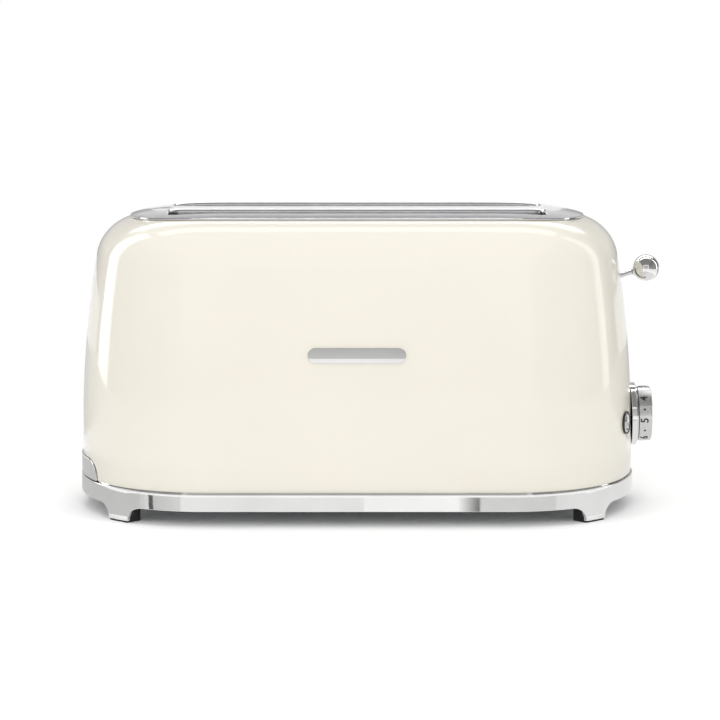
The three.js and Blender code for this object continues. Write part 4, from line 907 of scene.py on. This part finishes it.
class TOASTER_OT_top_plate(bpy.types.Operator):
    """Makes the crowned steel top plate with two rolled bread slots"""

    bl_idname = "toaster.top_plate"
    bl_label = "Top plate"

    def execute(self, context):
        top = settings("top")
        plan = outline()
        front = self.half_plate(plan)
        rear = front.copy()
        rear.data = front.data.copy()
        bpy.context.scene.collection.objects.link(rear)
        placed(rear, Matrix.Scale(-1, 4, (0, 1, 0)))
        plate = joined(front, rear)
        plate.name = "slot_plate"
        self.turn_edge_down(plate)
        solidify = plate.modifiers.new("sheet", "SOLIDIFY")
        solidify.thickness = top.plate
        solidify.offset = -1
        apply_modifiers(plate)
        bevelled(plate, 0.35 * MM, 3, 50)
        smooth(plate, 50)
        installed(plate, "polished_plate", "housing", "polished_steel", "top_plate")
        return {"FINISHED"}

    def half_plate(self, plan):
        """One slot's half of the plate: rows from the half's boundary in to the slot, then down."""
        top = settings("top")
        edge = shoulder_ring(plan, 1.0, 0.0)
        x, y = edge[:, 0] - MIDDLE_X, edge[:, 1]
        half = [(px, py) for px, py in zip(x, y) if py > 1e-6]
        half.sort(key=lambda p: -math.atan2(p[1], p[0]))
        tip = x.max()
        line = [(px, 0.0) for px in np.linspace(tip, -tip, 61)]
        boundary = np.array(half + line)
        middle = np.array([0.0, top.slot_pitch / 2])
        scale = np.array([top.slot_half_length, top.slot_width / 2])
        offsets = [(top.roll * (1 - math.sin(t)), top.roll * (1 - math.cos(t)))
                   for t in np.linspace(0, math.pi / 2, ROLL_STEPS)]
        loops = [self.slot_loop(offset) for offset, _ in offsets]
        bearing = self.bearings((boundary - middle) / scale)
        bearing = np.concatenate([bearing, self.bearings((loops[0] - middle) / scale)])
        bearing = np.unique(np.round(bearing, 4))
        outer = self.met(boundary, middle, scale, bearing)
        inner = [self.met(loop, middle, scale, bearing) for loop in loops]
        rows = []
        for share in np.linspace(0, 1, PLATE_ROWS)[:-1]:
            rows.append(self.crowned(plan, outer + (inner[0] - outer) * share, 0.0))
        for points, (_, drop) in zip(inner, offsets):
            rows.append(self.crowned(plan, points, drop))
        flange = PLATE_LOW.z + top.gap
        rolled = rows[-1]
        for share in FLANGE_SHARES:
            row = rolled.copy()
            row[:, 2] += (flange - row[:, 2]) * share
            rows.append(row)
        half_plate = skin("half_plate", rows, closed_profile=False)
        if sum(p.normal.z * p.area for p in half_plate.data.polygons) < 0:
            half_plate.data.flip_normals()
        return half_plate

    def crowned(self, plan, flat, drop):
        """A row of flat points raised onto the crown, and dropped a little from it."""
        points = np.zeros((len(flat), 3))
        points[:, 0] = flat[:, 0] + MIDDLE_X
        points[:, 1] = flat[:, 1]
        points[:, 2] = crown_height(plan, points) - drop
        return points

    def slot_loop(self, offset):
        """The slot's rounded outline, moved outwards."""
        top = settings("top")
        radius = top.slot_corner + offset
        cx = top.slot_half_length - top.slot_corner
        cy = top.slot_width / 2 - top.slot_corner
        points = []
        for sx, sy, start in ((1, 1, 0), (-1, 1, 0.5), (-1, -1, 1), (1, -1, 1.5)):
            for t in np.linspace(start, start + 0.5, SLOT_CORNER_STEPS) * math.pi:
                points.append((sx * cx + radius * math.cos(t),
                               top.slot_pitch / 2 + sy * cy + radius * math.sin(t)))
        return np.array(points)

    def bearings(self, points):
        """The bearing of each point from the middle."""
        return np.arctan2(points[:, 1], points[:, 0])

    def met(self, loop, middle, scale, bearing):
        """Where rays from the middle at these bearings meet a convex loop."""
        scaled = (loop - middle) / scale
        after = np.roll(scaled, -1, axis=0)
        found = []
        for b in bearing:
            ray = np.array([math.cos(b), math.sin(b)])
            across = scaled[:, 0] * ray[1] - scaled[:, 1] * ray[0]
            across_after = after[:, 0] * ray[1] - after[:, 1] * ray[0]
            best = 0.0
            crossing = np.nonzero((across * across_after <= 0) & (across != across_after))[0]
            for i in crossing:
                share = across[i] / (across[i] - across_after[i])
                hit = scaled[i] + (after[i] - scaled[i]) * share
                best = max(best, float(hit @ ray))
            found.append(ray * best * scale + middle)
        return np.array(found)

    def turn_edge_down(self, plate):
        """Merges the halves and turns the plate's outer edge down all round."""
        turned_down = 0.9 * MM
        mesh = bmesh.new()
        mesh.from_mesh(plate.data)
        bmesh.ops.remove_doubles(mesh, verts=mesh.verts, dist=1e-5)
        rim = [e for e in mesh.edges if e.is_boundary and min(v.co.z for v in e.verts)
               > PLATE_LOW.z + 1 * MM]
        turned = bmesh.ops.extrude_edge_only(mesh, edges=rim)
        down = [g for g in turned["geom"] if isinstance(g, bmesh.types.BMVert)]
        bmesh.ops.translate(mesh, verts=down, vec=(0, 0, -turned_down))
        mesh.to_mesh(plate.data)
        mesh.free()


class TOASTER_OT_band(bpy.types.Operator):
    """Makes the polished cast band with its four flared feet"""

    bl_idname = "toaster.band"
    bl_label = "Band and feet"

    def execute(self, context):
        sizes = settings("body")
        plan = outline()
        low = self.underside(plan)
        edge = sizes.band_edge
        high = sizes.band_top
        rib_top = self.rib_top(plan)
        wall, skin_depth = sizes.band_wall, sizes.foot_skin
        turns = np.linspace(0, math.pi / 2, EDGE_STEPS)
        rings = [(edge * (1 - math.sin(t)), low + edge * (1 - math.cos(t))) for t in turns]
        rings += [(0, low + (high - low) * s) for s in BAND_FACE_SHARES]
        rings += [(edge * (1 - math.cos(t)), high - edge * (1 - math.sin(t))) for t in turns]
        rings += [(sizes.rib_inset, high), (sizes.rib_inset, rib_top), (wall, rib_top)]
        rings += [(wall, sizes.ledge_top), (sizes.ledge_reach, sizes.ledge_top),
                  (sizes.ledge_reach, sizes.ledge_bottom), (wall, sizes.ledge_bottom)]
        rings += [(wall, sizes.band_bottom), (skin_depth, sizes.band_bottom), (skin_depth, low)]
        band = skin("cast_band", [inset_ring(plan, inset, z) for inset, z in rings])
        smooth(band, 32)
        installed(band, "polished_band", "housing", "cast_metal", "base_frame")
        return {"FINISHED"}

    def underside(self, plan):
        """The height of the band's lower edge, which runs down into the feet in smooth flares."""
        sizes = settings("body")
        radius = HALF_DEPTH - sizes.corner_setback
        turn = np.arctan2(np.abs(plan[:, 3]), np.abs(plan[:, 2]))
        away = np.abs(turn - sizes.foot_angle) * radius
        run = sizes.foot_flare - sizes.foot_half_width
        share = np.clip((sizes.foot_flare - away) / run, 0, 1)
        fall = sizes.band_bottom - sizes.foot_clear
        straight = turn > math.radians(89.9)  # the long sides, where no foot reaches
        low = sizes.foot_clear + fall * np.sqrt(1 - share**2)
        return np.where(straight, sizes.band_bottom, low)

    def rib_top(self, plan):
        """The rib that locates the shell; it stops short on both sides of the crumb tray."""
        sizes = settings("body")
        at_tray = (plan[:, 0] < 0) & (np.abs(plan[:, 1]) < sizes.tray_gap)
        return np.where(at_tray, sizes.band_top, BAND_HIGH.z)


class TOASTER_OT_badge(bpy.types.Operator):
    """Makes the plain polished bar on the front"""

    bl_idname = "toaster.badge"
    bl_label = "Front bar"

    def execute(self, context):
        low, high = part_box("front_badge")
        middle = (low + high) / 2
        half_length, half_height = (high.x - low.x) / 2, (high.z - low.z) / 2
        thickness, edge, gap = 1 * MM, 0.35 * MM, 0.05 * MM
        bpy.ops.object.select_all(action="DESELECT")
        bpy.ops.mesh.primitive_cylinder_add(vertices=64, radius=half_height, depth=thickness)
        bar = bpy.context.object
        for v in bar.data.vertices:
            v.co.x += math.copysign(half_length - half_height, v.co.x)
        bevelled(bar, edge, 4, 40)
        lean = Matrix.Rotation(math.pi / 2 - wall_tilt(middle.z), 4, "X")
        face = -HALF_DEPTH + wall_inset(middle.z) - thickness / 2 - gap
        placed(bar, Matrix.Translation((middle.x, face, middle.z)) @ lean)
        smooth(bar, 40)
        bar.name = "front_bar"
        installed(bar, "chrome", "housing", "chrome", "front_badge")
        return {"FINISHED"}


class TOASTER_OT_tray_front(bpy.types.Operator):
    """Makes the polished front of the crumb tray, which closes the arch in the shell"""

    bl_idname = "toaster.tray_front"
    bl_label = "Crumb tray front"

    def execute(self, context):
        plan = outline()
        low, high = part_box("crumb_tray_front")
        sunk, depth, edge = 0.25 * MM, 3 * MM, 0.5 * MM
        points, faces = [], []
        heights, columns = np.linspace(low.z, high.z, 16), np.linspace(-1, 1, 61)
        widths = arch_half_width(low.z, high.z, heights)
        for z, width in zip(heights, widths):
            ring = inset_ring(plan, sunk, z)
            end = ring[plan[:, 0] < 0]
            end = end[np.argsort(end[:, 1])]
            for c in columns:
                y = c * width
                points.append((float(np.interp(y, end[:, 1], end[:, 0])), y, z))
        across = len(columns)
        for i in range(len(heights) - 1):
            for j in range(across - 1):
                a = i * across + j
                faces.append((a, a + 1, a + across + 1, a + across))
        front = object_from("tray_front", points, faces)
        if sum(p.normal.x * p.area for p in front.data.polygons) > 0:
            front.data.flip_normals()
        solidify = front.modifiers.new("sheet", "SOLIDIFY")
        solidify.thickness = depth
        solidify.offset = -1
        apply_modifiers(front)
        bevelled(front, edge, 3, 50)
        smooth(front, 45)
        installed(front, "polished_band", "tray", "chrome", "crumb_tray_front")
        return {"FINISHED"}


# --- Pieces: the controls -------------------------------------------------------------------------


def rounded(points, radius, steps=5):
    """An (along, radius) profile with each inner corner rounded by the same small radius."""
    result = [points[0]]
    for before, corner, after in zip(points, points[1:], points[2:]):
        a, b, c = Vector(before), Vector(corner), Vector(after)
        reach = min(radius, (a - b).length / 2, (c - b).length / 2)
        start = b + (a - b).normalized() * reach
        end = b + (c - b).normalized() * reach
        for s in np.linspace(0, 1, steps):
            s = float(s)
            result.append(tuple(start * (1 - s) ** 2 + b * 2 * s * (1 - s) + end * s**2))
    return result + [points[-1]]


class TOASTER_OT_dial(bpy.types.Operator):
    """Makes the browning dial with its grip and numbers, and the stepped ring behind it"""

    bl_idname = "toaster.dial"
    bl_label = "Browning dial"
    middle_share = 0.42  # where the marks' row lies along the dial's depth

    def execute(self, context):
        sizes = settings("controls")
        place = wall_place(0, frame_joint("dial_turn")["pos_m"][2])
        back = sizes.bezel_depth + sizes.dial_gap
        front = back + sizes.dial_depth
        r = sizes.dial_radius
        draft, widest, crown, dish, rim = 0.1 * MM, 4 * MM, 0.6 * MM, 0.3 * MM, 1.6 * MM
        knob = spun("dial", rounded(
            [(back, 0), (back, r - draft), (back + widest, r), (front - crown, r - 2 * draft),
             (front, r - rim), (front - dish, r - 2 * rim), (front - 2 * dish, 0)],
            crown), FINE_TURN)
        placed(knob, place)
        smooth(knob, 30)
        installed(knob, "satin_chrome", "dial", "chrome", "dial_knob")
        behind, edge = 0.25 * MM, 0.3 * MM
        grip = placed(self.grip(back + behind, front, r), place)
        bevelled(grip, edge, 3, 40)
        smooth(grip, 40)
        dressed(grip, "grip_chrome")
        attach(grip, "dial")
        marks = placed(self.marks(back, r), place)
        dressed(marks, "black_print")
        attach(marks, "dial")
        ring, face = sizes.bezel_radius, sizes.bezel_depth
        sunk, bore, edge = -0.5 * MM, 6 * MM, 0.35 * MM
        step, groove = (3.2 * MM, ring - 0.9 * MM), (3.0 * MM, ring - 1.7 * MM)
        profile = [(sunk, bore), (sunk, ring), (2.9 * MM, ring), step, groove,
                   (face, ring - 1.95 * MM), (face, bore), (sunk, bore)]
        bezel = placed(spun("dial_ring", rounded(profile, edge), FINE_TURN), place)
        smooth(bezel, 35)
        installed(bezel, "chrome", "housing", "chrome", "dial_bezel")
        return {"FINISHED"}

    def around(self, along, radius, bearing):
        """A place on the dial at a bearing from the top towards the front."""
        return (along, -radius * math.sin(bearing), radius * math.cos(bearing))

    def grip(self, start, end, radius):
        """The raised stretch of the dial's rim that fingers hold."""
        sizes = settings("controls")
        bearings = np.linspace(sizes.grip_start, sizes.grip_end, 25)
        inner, outer = radius - GRIP_SUNK, radius + GRIP_PROUD
        section = [(start, inner), (start, outer), (end, outer), (end, inner)]
        points = [self.around(x, r, b) for b in bearings for x, r in section]
        corners = len(section)
        last = len(points) - corners
        faces = [tuple(range(corners)), tuple(last + i for i in reversed(range(corners)))]
        for a in range(0, last, corners):
            b = a + corners
            for j in range(corners):
                k = (j + 1) % corners
                faces.append((a + j, a + k, b + k, b + j))
        return object_from("dial_grip", points, faces)

    def marks(self, back, radius):
        """The numbers 1 to 6 with their tops towards the body, and a dot between each pair."""
        sizes = settings("controls")
        middle = back + sizes.dial_depth * self.middle_share
        made = []
        for number in range(1, NUMBERS + 1):
            bearing = (number - TOP_NUMBER) * sizes.mark_pitch + sizes.mark_turn
            made.append(self.number(number, middle, radius, bearing))
            if number < NUMBERS:
                made.append(self.dot(middle, radius, bearing + sizes.mark_pitch / 2))
        marks = joined(*made)
        marks.name = "dial_marks"
        return marks

    def number(self, number, middle, radius, bearing):
        """A raised number, wrapped round the dial at a bearing."""
        sizes = settings("controls")
        bpy.ops.object.select_all(action="DESELECT")
        bpy.ops.object.text_add(location=(0, 0, 0))
        text = bpy.context.object
        text.data.body = str(number)
        text.data.size = sizes.number_height / FIGURE_SHARE
        text.data.align_x = "CENTER"
        text.data.align_y = "CENTER"
        text.data.extrude = PRINT_THICKNESS
        text.data.offset = PRINT_THICKNESS
        select_only(text)
        bpy.ops.object.convert(target="MESH")
        raised = radius + (GRIP_PROUD if sizes.grip_start < bearing < sizes.grip_end else 0)
        for v in text.data.vertices:
            turn = bearing - v.co.x / radius
            v.co = self.around(middle - v.co.y, raised + v.co.z - PRINT_SUNK, turn)
        return text

    def dot(self, middle, radius, bearing):
        """A raised dot, wrapped round the dial at a bearing."""
        bpy.ops.object.select_all(action="DESELECT")
        bpy.ops.mesh.primitive_cylinder_add(vertices=20, radius=DOT_RADIUS,
                                            depth=2 * PRINT_THICKNESS)
        dot = bpy.context.object
        for v in dot.data.vertices:
            v.co = self.around(middle - v.co.y, radius + v.co.z - PRINT_SUNK,
                               bearing - v.co.x / radius)
        return dot


class TOASTER_OT_buttons(bpy.types.Operator):
    """Makes the two push buttons with their dark rims"""

    bl_idname = "toaster.buttons"
    bl_label = "Buttons"

    def execute(self, context):
        sizes = settings("controls")
        height = frame_joint("dial_turn")["pos_m"][2]
        r = sizes.button_radius
        inner = r + sizes.button_gap
        outer = inner + sizes.button_rim
        back, top = 2 * MM, 1.2 * MM
        neck, sunk, proud = outer - 0.5 * MM, 1.4 * MM, 1.45 * MM
        for side, word in ((-1, "near"), (1, "far")):
            place = wall_place(side * sizes.button_spread, height)
            cap = spun(word + "_button_cap", rounded(
                [(-back, 0), (-back, r), (top, r), (top, r - 1.5 * MM),
                 (0.7 * MM, r - 2 * MM), (0.45 * MM, 0)], 0.35 * MM), BUTTON_TURN)
            placed(cap, place)
            smooth(cap, 30)
            installed(cap, "chrome", word + "_button", "chrome", "button_" + word)
            rim = spun(word + "_button_ring", rounded(
                [(-sunk, inner), (-sunk, neck), (0, neck), (0.05 * MM, outer),
                 (proud, outer), (proud, inner), (-sunk, inner)], 0.3 * MM), BUTTON_TURN)
            placed(rim, place)
            smooth(rim, 35)
            installed(rim, "dark_plastic", "housing", "black_plastic", "button_rim_" + word)
        return {"FINISHED"}


class TOASTER_OT_lever(bpy.types.Operator):
    """Makes the lever's chrome ball and its satin stem"""

    bl_idname = "toaster.lever"
    bl_label = "Lever"

    def execute(self, context):
        sizes = settings("controls")
        low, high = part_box("lever_ball")
        middle = (low + high) / 2
        r = sizes.ball_radius
        neck, collar, edge = 2.6 * MM, 0.9 * MM, 0.5 * MM
        place = Matrix.Translation(middle) @ Matrix.Rotation(-sizes.stem_rise, 4, "Y")
        meet = math.asin(neck / r)
        arc = [(-r * math.cos(t), r * math.sin(t)) for t in np.linspace(meet, math.pi, 48)]
        start = [(-r - collar, 0), (-r - collar, neck - edge), (-r - edge, neck)]
        ball = placed(spun("ball", start + arc[:-1] + [(r, 0)], BALL_TURN), place)
        smooth(ball, 30)
        installed(ball, "chrome", "carriage", "chrome", "lever_ball")
        stem_low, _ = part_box("lever_stem")
        away = (middle.x - stem_low.x - sizes.stem_radius) / math.cos(sizes.stem_rise)
        stem = placed(spun("stem", rounded(
            [(-away, 0), (-away, sizes.stem_radius), (-r, sizes.stem_radius), (-r, 0)],
            0.3 * MM), STEM_TURN), place)
        smooth(stem, 30)
        installed(stem, "grip_chrome", "carriage", "chrome", "lever_stem")
        return {"FINISHED"}


# --- Pieces: inside ---------------------------------------------------------------------------------


class TOASTER_OT_guides(bpy.types.Operator):
    """Makes one bread guide from round wires, and a copy of it in each guide's place"""

    bl_idname = "toaster.guides"
    bl_label = "Bread guides"
    uprights = 11

    def execute(self, context):
        low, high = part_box("bread_guide_front_outer")
        pattern = self.pattern(high - low)
        for side, place in GUIDE_SIDES:
            node = f"bread_guide_{side}_{place}"
            low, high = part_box(node)
            guide = bpy.data.objects.new(f"{side}_{place}_wires", pattern.data.copy())
            context.scene.collection.objects.link(guide)
            placed(guide, Matrix.Translation((low + high) / 2))
            installed(guide, "wire", f"guide_{side}_{place}", "steel", node)
        bpy.data.objects.remove(pattern)
        return {"FINISHED"}

    def pattern(self, size):
        """Two long rails and a third between them, with upright wires welded across."""
        radius = size.y / 4
        x, z = size.x / 2 - radius, size.z / 2 - radius
        rails = [rod((-x, -radius, level), (x, -radius, level), radius) for level in (-z, 0, z)]
        wires = [rod((along, radius, -z - radius), (along, radius, z + radius), radius)
                 for along in np.linspace(-x, x, self.uprights).tolist()]
        guide = joined(*rails, *wires)
        return smooth(guide, 40)


class TOASTER_OT_spring(bpy.types.Operator):
    """Makes the long coil spring that lifts the carriage"""

    bl_idname = "toaster.spring"
    bl_label = "Lift spring"

    def execute(self, context):
        low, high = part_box("lift_spring")
        middle = (low + high) / 2
        wire = 0.45 * MM
        radius = (high.x - low.x) / 2 - wire
        coils, steps, sides = 16, 20, 8
        bottom, top = low.z + wire, high.z - wire
        rings = []
        for i in range(coils * steps + 1):
            turn = 2 * math.pi * i / steps
            z = bottom + (top - bottom) * i / (coils * steps)
            ring = []
            for j in range(sides):
                t = 2 * math.pi * j / sides
                reach = radius + wire * math.cos(t)
                ring.append((middle.x + reach * math.cos(turn), middle.y + reach * math.sin(turn),
                             z + wire * math.sin(t)))
            rings.append(ring)
        spring = skin("coil_spring", rings, closed_profile=False)
        smooth(spring, 60)
        dressed(spring, "chrome")
        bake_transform(spring)
        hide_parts("lift_spring")
        return {"FINISHED"}


class TOASTER_OT_inside(bpy.types.Operator):
    """Gives the pieces that keep their CAD shapes their finishes"""

    bl_idname = "toaster.inside"
    bl_label = "Finishes of the inner pieces"

    def execute(self, context):
        finishes = {
            "base_plate": "sheet_steel", "crumb_tray": "sheet_steel",
            "chassis_wall_left": "upright_steel", "chassis_wall_right": "upright_steel",
            "tie_bar_upper": "sheet_steel", "tie_bar_lower": "sheet_steel",
            "bread_rack_front": "wire", "bread_rack_rear": "wire",
            "carriage_bracket": "upright_steel", "guide_rod": "chrome", "latch_plate": "iron",
            "reflector_front": "reflector_steel", "reflector_rear": "reflector_steel",
            "electromagnet_core": "iron", "electromagnet_coil": "copper_winding",
            "control_board": "circuit_board", "dial_shaft": "wire",
            "lever_slot_trim": "dark_plastic",
        }
        for name, node in frame["nodes"].items():
            if name.startswith("heater_board"):
                finish = "mica"
            elif name.startswith("heater_wire"):
                finish = "heater_ribbon"
            elif name.startswith("foot_pad"):
                finish = "rubber"
            elif name.startswith("base_screw"):
                finish = "iron"
            else:
                finish = finishes.get(name, "dark_plastic")
            dressed(node, finish)
        return {"FINISHED"}


# --- Studio -----------------------------------------------------------------------------------------


def area_light(name, place, target, width, height, power):
    """A rectangular light that metal and gloss do not show."""
    light = bpy.data.lights.new(name, "AREA")
    light.shape = "RECTANGLE"
    light.size = width
    light.size_y = height
    light.energy = power
    o = bpy.data.objects.new(name, light)
    bpy.context.scene.collection.objects.link(o)
    o.location = place
    o.rotation_euler = (Vector(target) - Vector(place)).to_track_quat("-Z", "Y").to_euler()
    o.visible_glossy = False
    return o


class TOASTER_OT_studio(bpy.types.Operator):
    """Makes the pale floor, the soft lights, the world and the camera"""

    bl_idname = "toaster.studio"
    bl_label = "Studio"

    def execute(self, context):
        self.floor()
        self.cards()
        self.lights()
        self.world(context)
        self.camera(context)
        return {"FINISHED"}

    def floor(self):
        """White to the camera away from the toaster, and lit and shadowed near it."""
        studio = settings("studio")
        bpy.ops.object.select_all(action="DESELECT")
        bpy.ops.mesh.primitive_plane_add(size=FLOOR_SIZE)
        floor = bpy.context.object
        floor.name = "floor"
        material = bpy.data.materials.new("floor")
        material.use_nodes = True
        nodes, links = material.node_tree.nodes, material.node_tree.links
        nodes.clear()
        output = nodes.new("ShaderNodeOutputMaterial")
        diffuse = nodes.new("ShaderNodeBsdfDiffuse")
        diffuse.inputs["Color"].default_value = (0.9, 0.9, 0.9, 1)
        seen = nodes.new("ShaderNodeBsdfDiffuse")
        seen.inputs["Color"].default_value = (*[studio.floor_white] * 3, 1)
        glow = nodes.new("ShaderNodeEmission")
        glow.inputs["Strength"].default_value = studio.floor_glow
        lit = nodes.new("ShaderNodeAddShader")
        links.new(seen.outputs[0], lit.inputs[0])
        links.new(glow.outputs[0], lit.inputs[1])
        white = nodes.new("ShaderNodeEmission")
        place = nodes.new("ShaderNodeTexCoord")
        away = nodes.new("ShaderNodeVectorMath")
        away.operation = "LENGTH"
        links.new(place.outputs["Object"], away.inputs[0])
        far = nodes.new("ShaderNodeMapRange")
        far.interpolation_type = "SMOOTHSTEP"
        far.inputs["From Min"].default_value = studio.shadow_reach
        far.inputs["From Max"].default_value = studio.shadow_reach * FLOOR_FADE
        links.new(away.outputs["Value"], far.inputs["Value"])
        ground = nodes.new("ShaderNodeMixShader")
        links.new(far.outputs["Result"], ground.inputs["Fac"])
        links.new(lit.outputs[0], ground.inputs[1])
        links.new(white.outputs[0], ground.inputs[2])
        mix = nodes.new("ShaderNodeMixShader")
        links.new(seen_directly(nodes, links), mix.inputs["Fac"])
        links.new(diffuse.outputs[0], mix.inputs[1])
        links.new(ground.outputs[0], mix.inputs[2])
        links.new(mix.outputs[0], output.inputs["Surface"])
        floor.data.materials.append(material)

    def cards(self):
        """The cards of both lists: boxes in the room, and patches of floor for the band."""
        for name, low, high, below, above in CARDS:
            card = cube(low, high)
            card.name = name
            self.glowing(card, [below if v.co.z < (low[2] + high[2]) / 2 else above
                                for v in card.data.vertices])
        plan = outline()
        camera = Vector(self.camera_place())
        front = plan[plan[:, 1] < 0]
        for number, (start, end, first, last) in enumerate(BAND_CARDS):
            points, values = [], []
            for share in np.linspace(0, 1, 12):
                x = start + (end - start) * share
                nearest = front[np.argmin(np.abs(front[:, 0] + MIDDLE_X - x))]
                normal = Vector((nearest[2], nearest[3], 0)).normalized()
                y = float(np.interp(x - MIDDLE_X, *self.by_x(front)))
                for z in BAND_CARD_REACH:
                    seen = Vector((x, y, z))
                    ray = (seen - camera).normalized()
                    mirrored = ray - 2 * ray.dot(normal) * normal
                    points.append(seen - mirrored * (z - CARD_LIFT) / mirrored.z)
                    values.append(first + (last - first) * share)
            faces = [(i, i + 1, i + 3, i + 2) for i in range(0, len(points) - 2, 2)]
            card = object_from(f"band_card_{number}", points, faces)
            self.glowing(card, values[:len(card.data.vertices)])

    def by_x(self, front):
        """The front half of the plan as x and y, in the order of x."""
        order = np.argsort(front[:, 0])
        return front[order, 0], front[order, 1]

    def glowing(self, card, values):
        """Makes a card glow by the brightness at its corners, for metal and gloss only."""
        glow_values = card.data.attributes.new("brightness", "FLOAT", "POINT")
        glow_values.data.foreach_set("value", values)
        material = bpy.data.materials.new(card.name)
        material.use_nodes = True
        nodes, links = material.node_tree.nodes, material.node_tree.links
        nodes.clear()
        brightness = nodes.new("ShaderNodeAttribute")
        brightness.attribute_name = "brightness"
        glow = nodes.new("ShaderNodeEmission")
        links.new(brightness.outputs["Fac"], glow.inputs["Strength"])
        output = nodes.new("ShaderNodeOutputMaterial")
        links.new(glow.outputs[0], output.inputs["Surface"])
        card.data.materials.append(material)
        card.visible_camera = False
        card.visible_diffuse = False
        card.visible_shadow = False
        card.visible_transmission = False

    def lights(self):
        """Soft lights above, at both sides, behind and in front."""
        studio = settings("studio")
        middle = (MIDDLE_X, 0, 0.1)
        area_light("light_above", (MIDDLE_X, -0.1, 1.6), middle, 1.8, 1.2, studio.top_power)
        area_light("light_left", (-1.5, -0.7, 0.7), middle, 0.5, 1.2, studio.side_power)
        area_light("light_right", (1.5, -0.9, 0.7), middle, 0.5, 1.2, studio.side_power)
        area_light("light_behind", (MIDDLE_X, 1.8, 1.2), middle, 1.2, 0.8, studio.side_power / 3)
        area_light("light_in_front", (MIDDLE_X, -2.4, 1.3), middle, 1.4, 0.8, studio.front_power)

    def world(self, context):
        """White where it is seen, directly or in metal, and a plain soft grey as a light."""
        world = bpy.data.worlds.new("studio")
        context.scene.world = world
        world.use_nodes = True
        nodes, links = world.node_tree.nodes, world.node_tree.links
        ground = nodes["Background"]
        ground.inputs["Color"].default_value = (1, 1, 1, 1)
        strength = nodes.new("ShaderNodeMapRange")
        strength.inputs["To Min"].default_value = settings("studio").world_light
        strength.inputs["To Max"].default_value = 1.0
        links.new(seen_directly(nodes, links), strength.inputs["Value"])
        links.new(strength.outputs["Result"], ground.inputs["Strength"])

    def camera_place(self):
        """Where the camera stands."""
        studio = settings("studio")
        return MIDDLE_X + studio.sideways, -studio.distance, studio.height

    def camera(self, context):
        """The camera, level from side to side and looking down a little."""
        studio = settings("studio")
        data = bpy.data.cameras.new("camera")
        data.lens = studio.lens
        camera = bpy.data.objects.new("camera", data)
        context.scene.collection.objects.link(camera)
        camera.location = self.camera_place()
        camera.rotation_euler = (math.pi / 2 - studio.pitch, 0, 0)
        context.scene.camera = camera
        context.scene.view_settings.view_transform = "Standard"


def seen_directly(nodes, links):
    """1 on camera, glossy and transmission rays, and 0 on others."""
    path = nodes.new("ShaderNodeLightPath")
    seen = path.outputs["Is Camera Ray"]
    for word in ("Is Glossy Ray", "Is Transmission Ray"):
        most = nodes.new("ShaderNodeMath")
        most.operation = "MAXIMUM"
        links.new(seen, most.inputs[0])
        links.new(path.outputs[word], most.inputs[1])
        seen = most.outputs[0]
    return seen


# --- Panel and registration ---------------------------------------------------------------------------

PIECES = (
    TOASTER_OT_shell, TOASTER_OT_top_plate, TOASTER_OT_band, TOASTER_OT_badge,
    TOASTER_OT_tray_front, TOASTER_OT_dial, TOASTER_OT_buttons, TOASTER_OT_lever,
    TOASTER_OT_guides, TOASTER_OT_spring, TOASTER_OT_inside, TOASTER_OT_studio,
)
GROUPS = {
    "body": ToasterBodySizes,
    "top": ToasterTopSizes,
    "controls": ToasterControlSizes,
    "finish": ToasterFinishes,
    "studio": ToasterStudio,
}


class TOASTER_PT_panel(bpy.types.Panel):
    """The toaster's pieces and sizes"""

    bl_label = "Toaster"
    bl_idname = "TOASTER_PT_panel"
    bl_space_type = "VIEW_3D"
    bl_region_type = "UI"
    bl_category = "Toaster"

    def draw(self, context):
        layout = self.layout
        for piece in PIECES:
            layout.operator(piece.bl_idname)
        for name, group in GROUPS.items():
            box = layout.box()
            box.label(text=name.capitalize())
            for prop in group.__annotations__:
                box.prop(getattr(context.scene, "toaster_" + name), prop)


def register():
    for cls in (*GROUPS.values(), *PIECES, TOASTER_PT_panel):
        bpy.utils.register_class(cls)
    for name, group in GROUPS.items():
        setattr(bpy.types.Scene, "toaster_" + name, bpy.props.PointerProperty(type=group))


def unregister():
    for name in GROUPS:
        delattr(bpy.types.Scene, "toaster_" + name)
    for cls in reversed((*GROUPS.values(), *PIECES, TOASTER_PT_panel)):
        bpy.utils.unregister_class(cls)


def main():
    register()
    bpy.ops.toaster.shell()
    bpy.ops.toaster.top_plate()
    bpy.ops.toaster.band()
    bpy.ops.toaster.badge()
    bpy.ops.toaster.tray_front()
    bpy.ops.toaster.dial()
    bpy.ops.toaster.buttons()
    bpy.ops.toaster.lever()
    bpy.ops.toaster.guides()
    bpy.ops.toaster.spring()
    bpy.ops.toaster.inside()
    bpy.ops.toaster.studio()


if __name__ == "__main__":
    main()
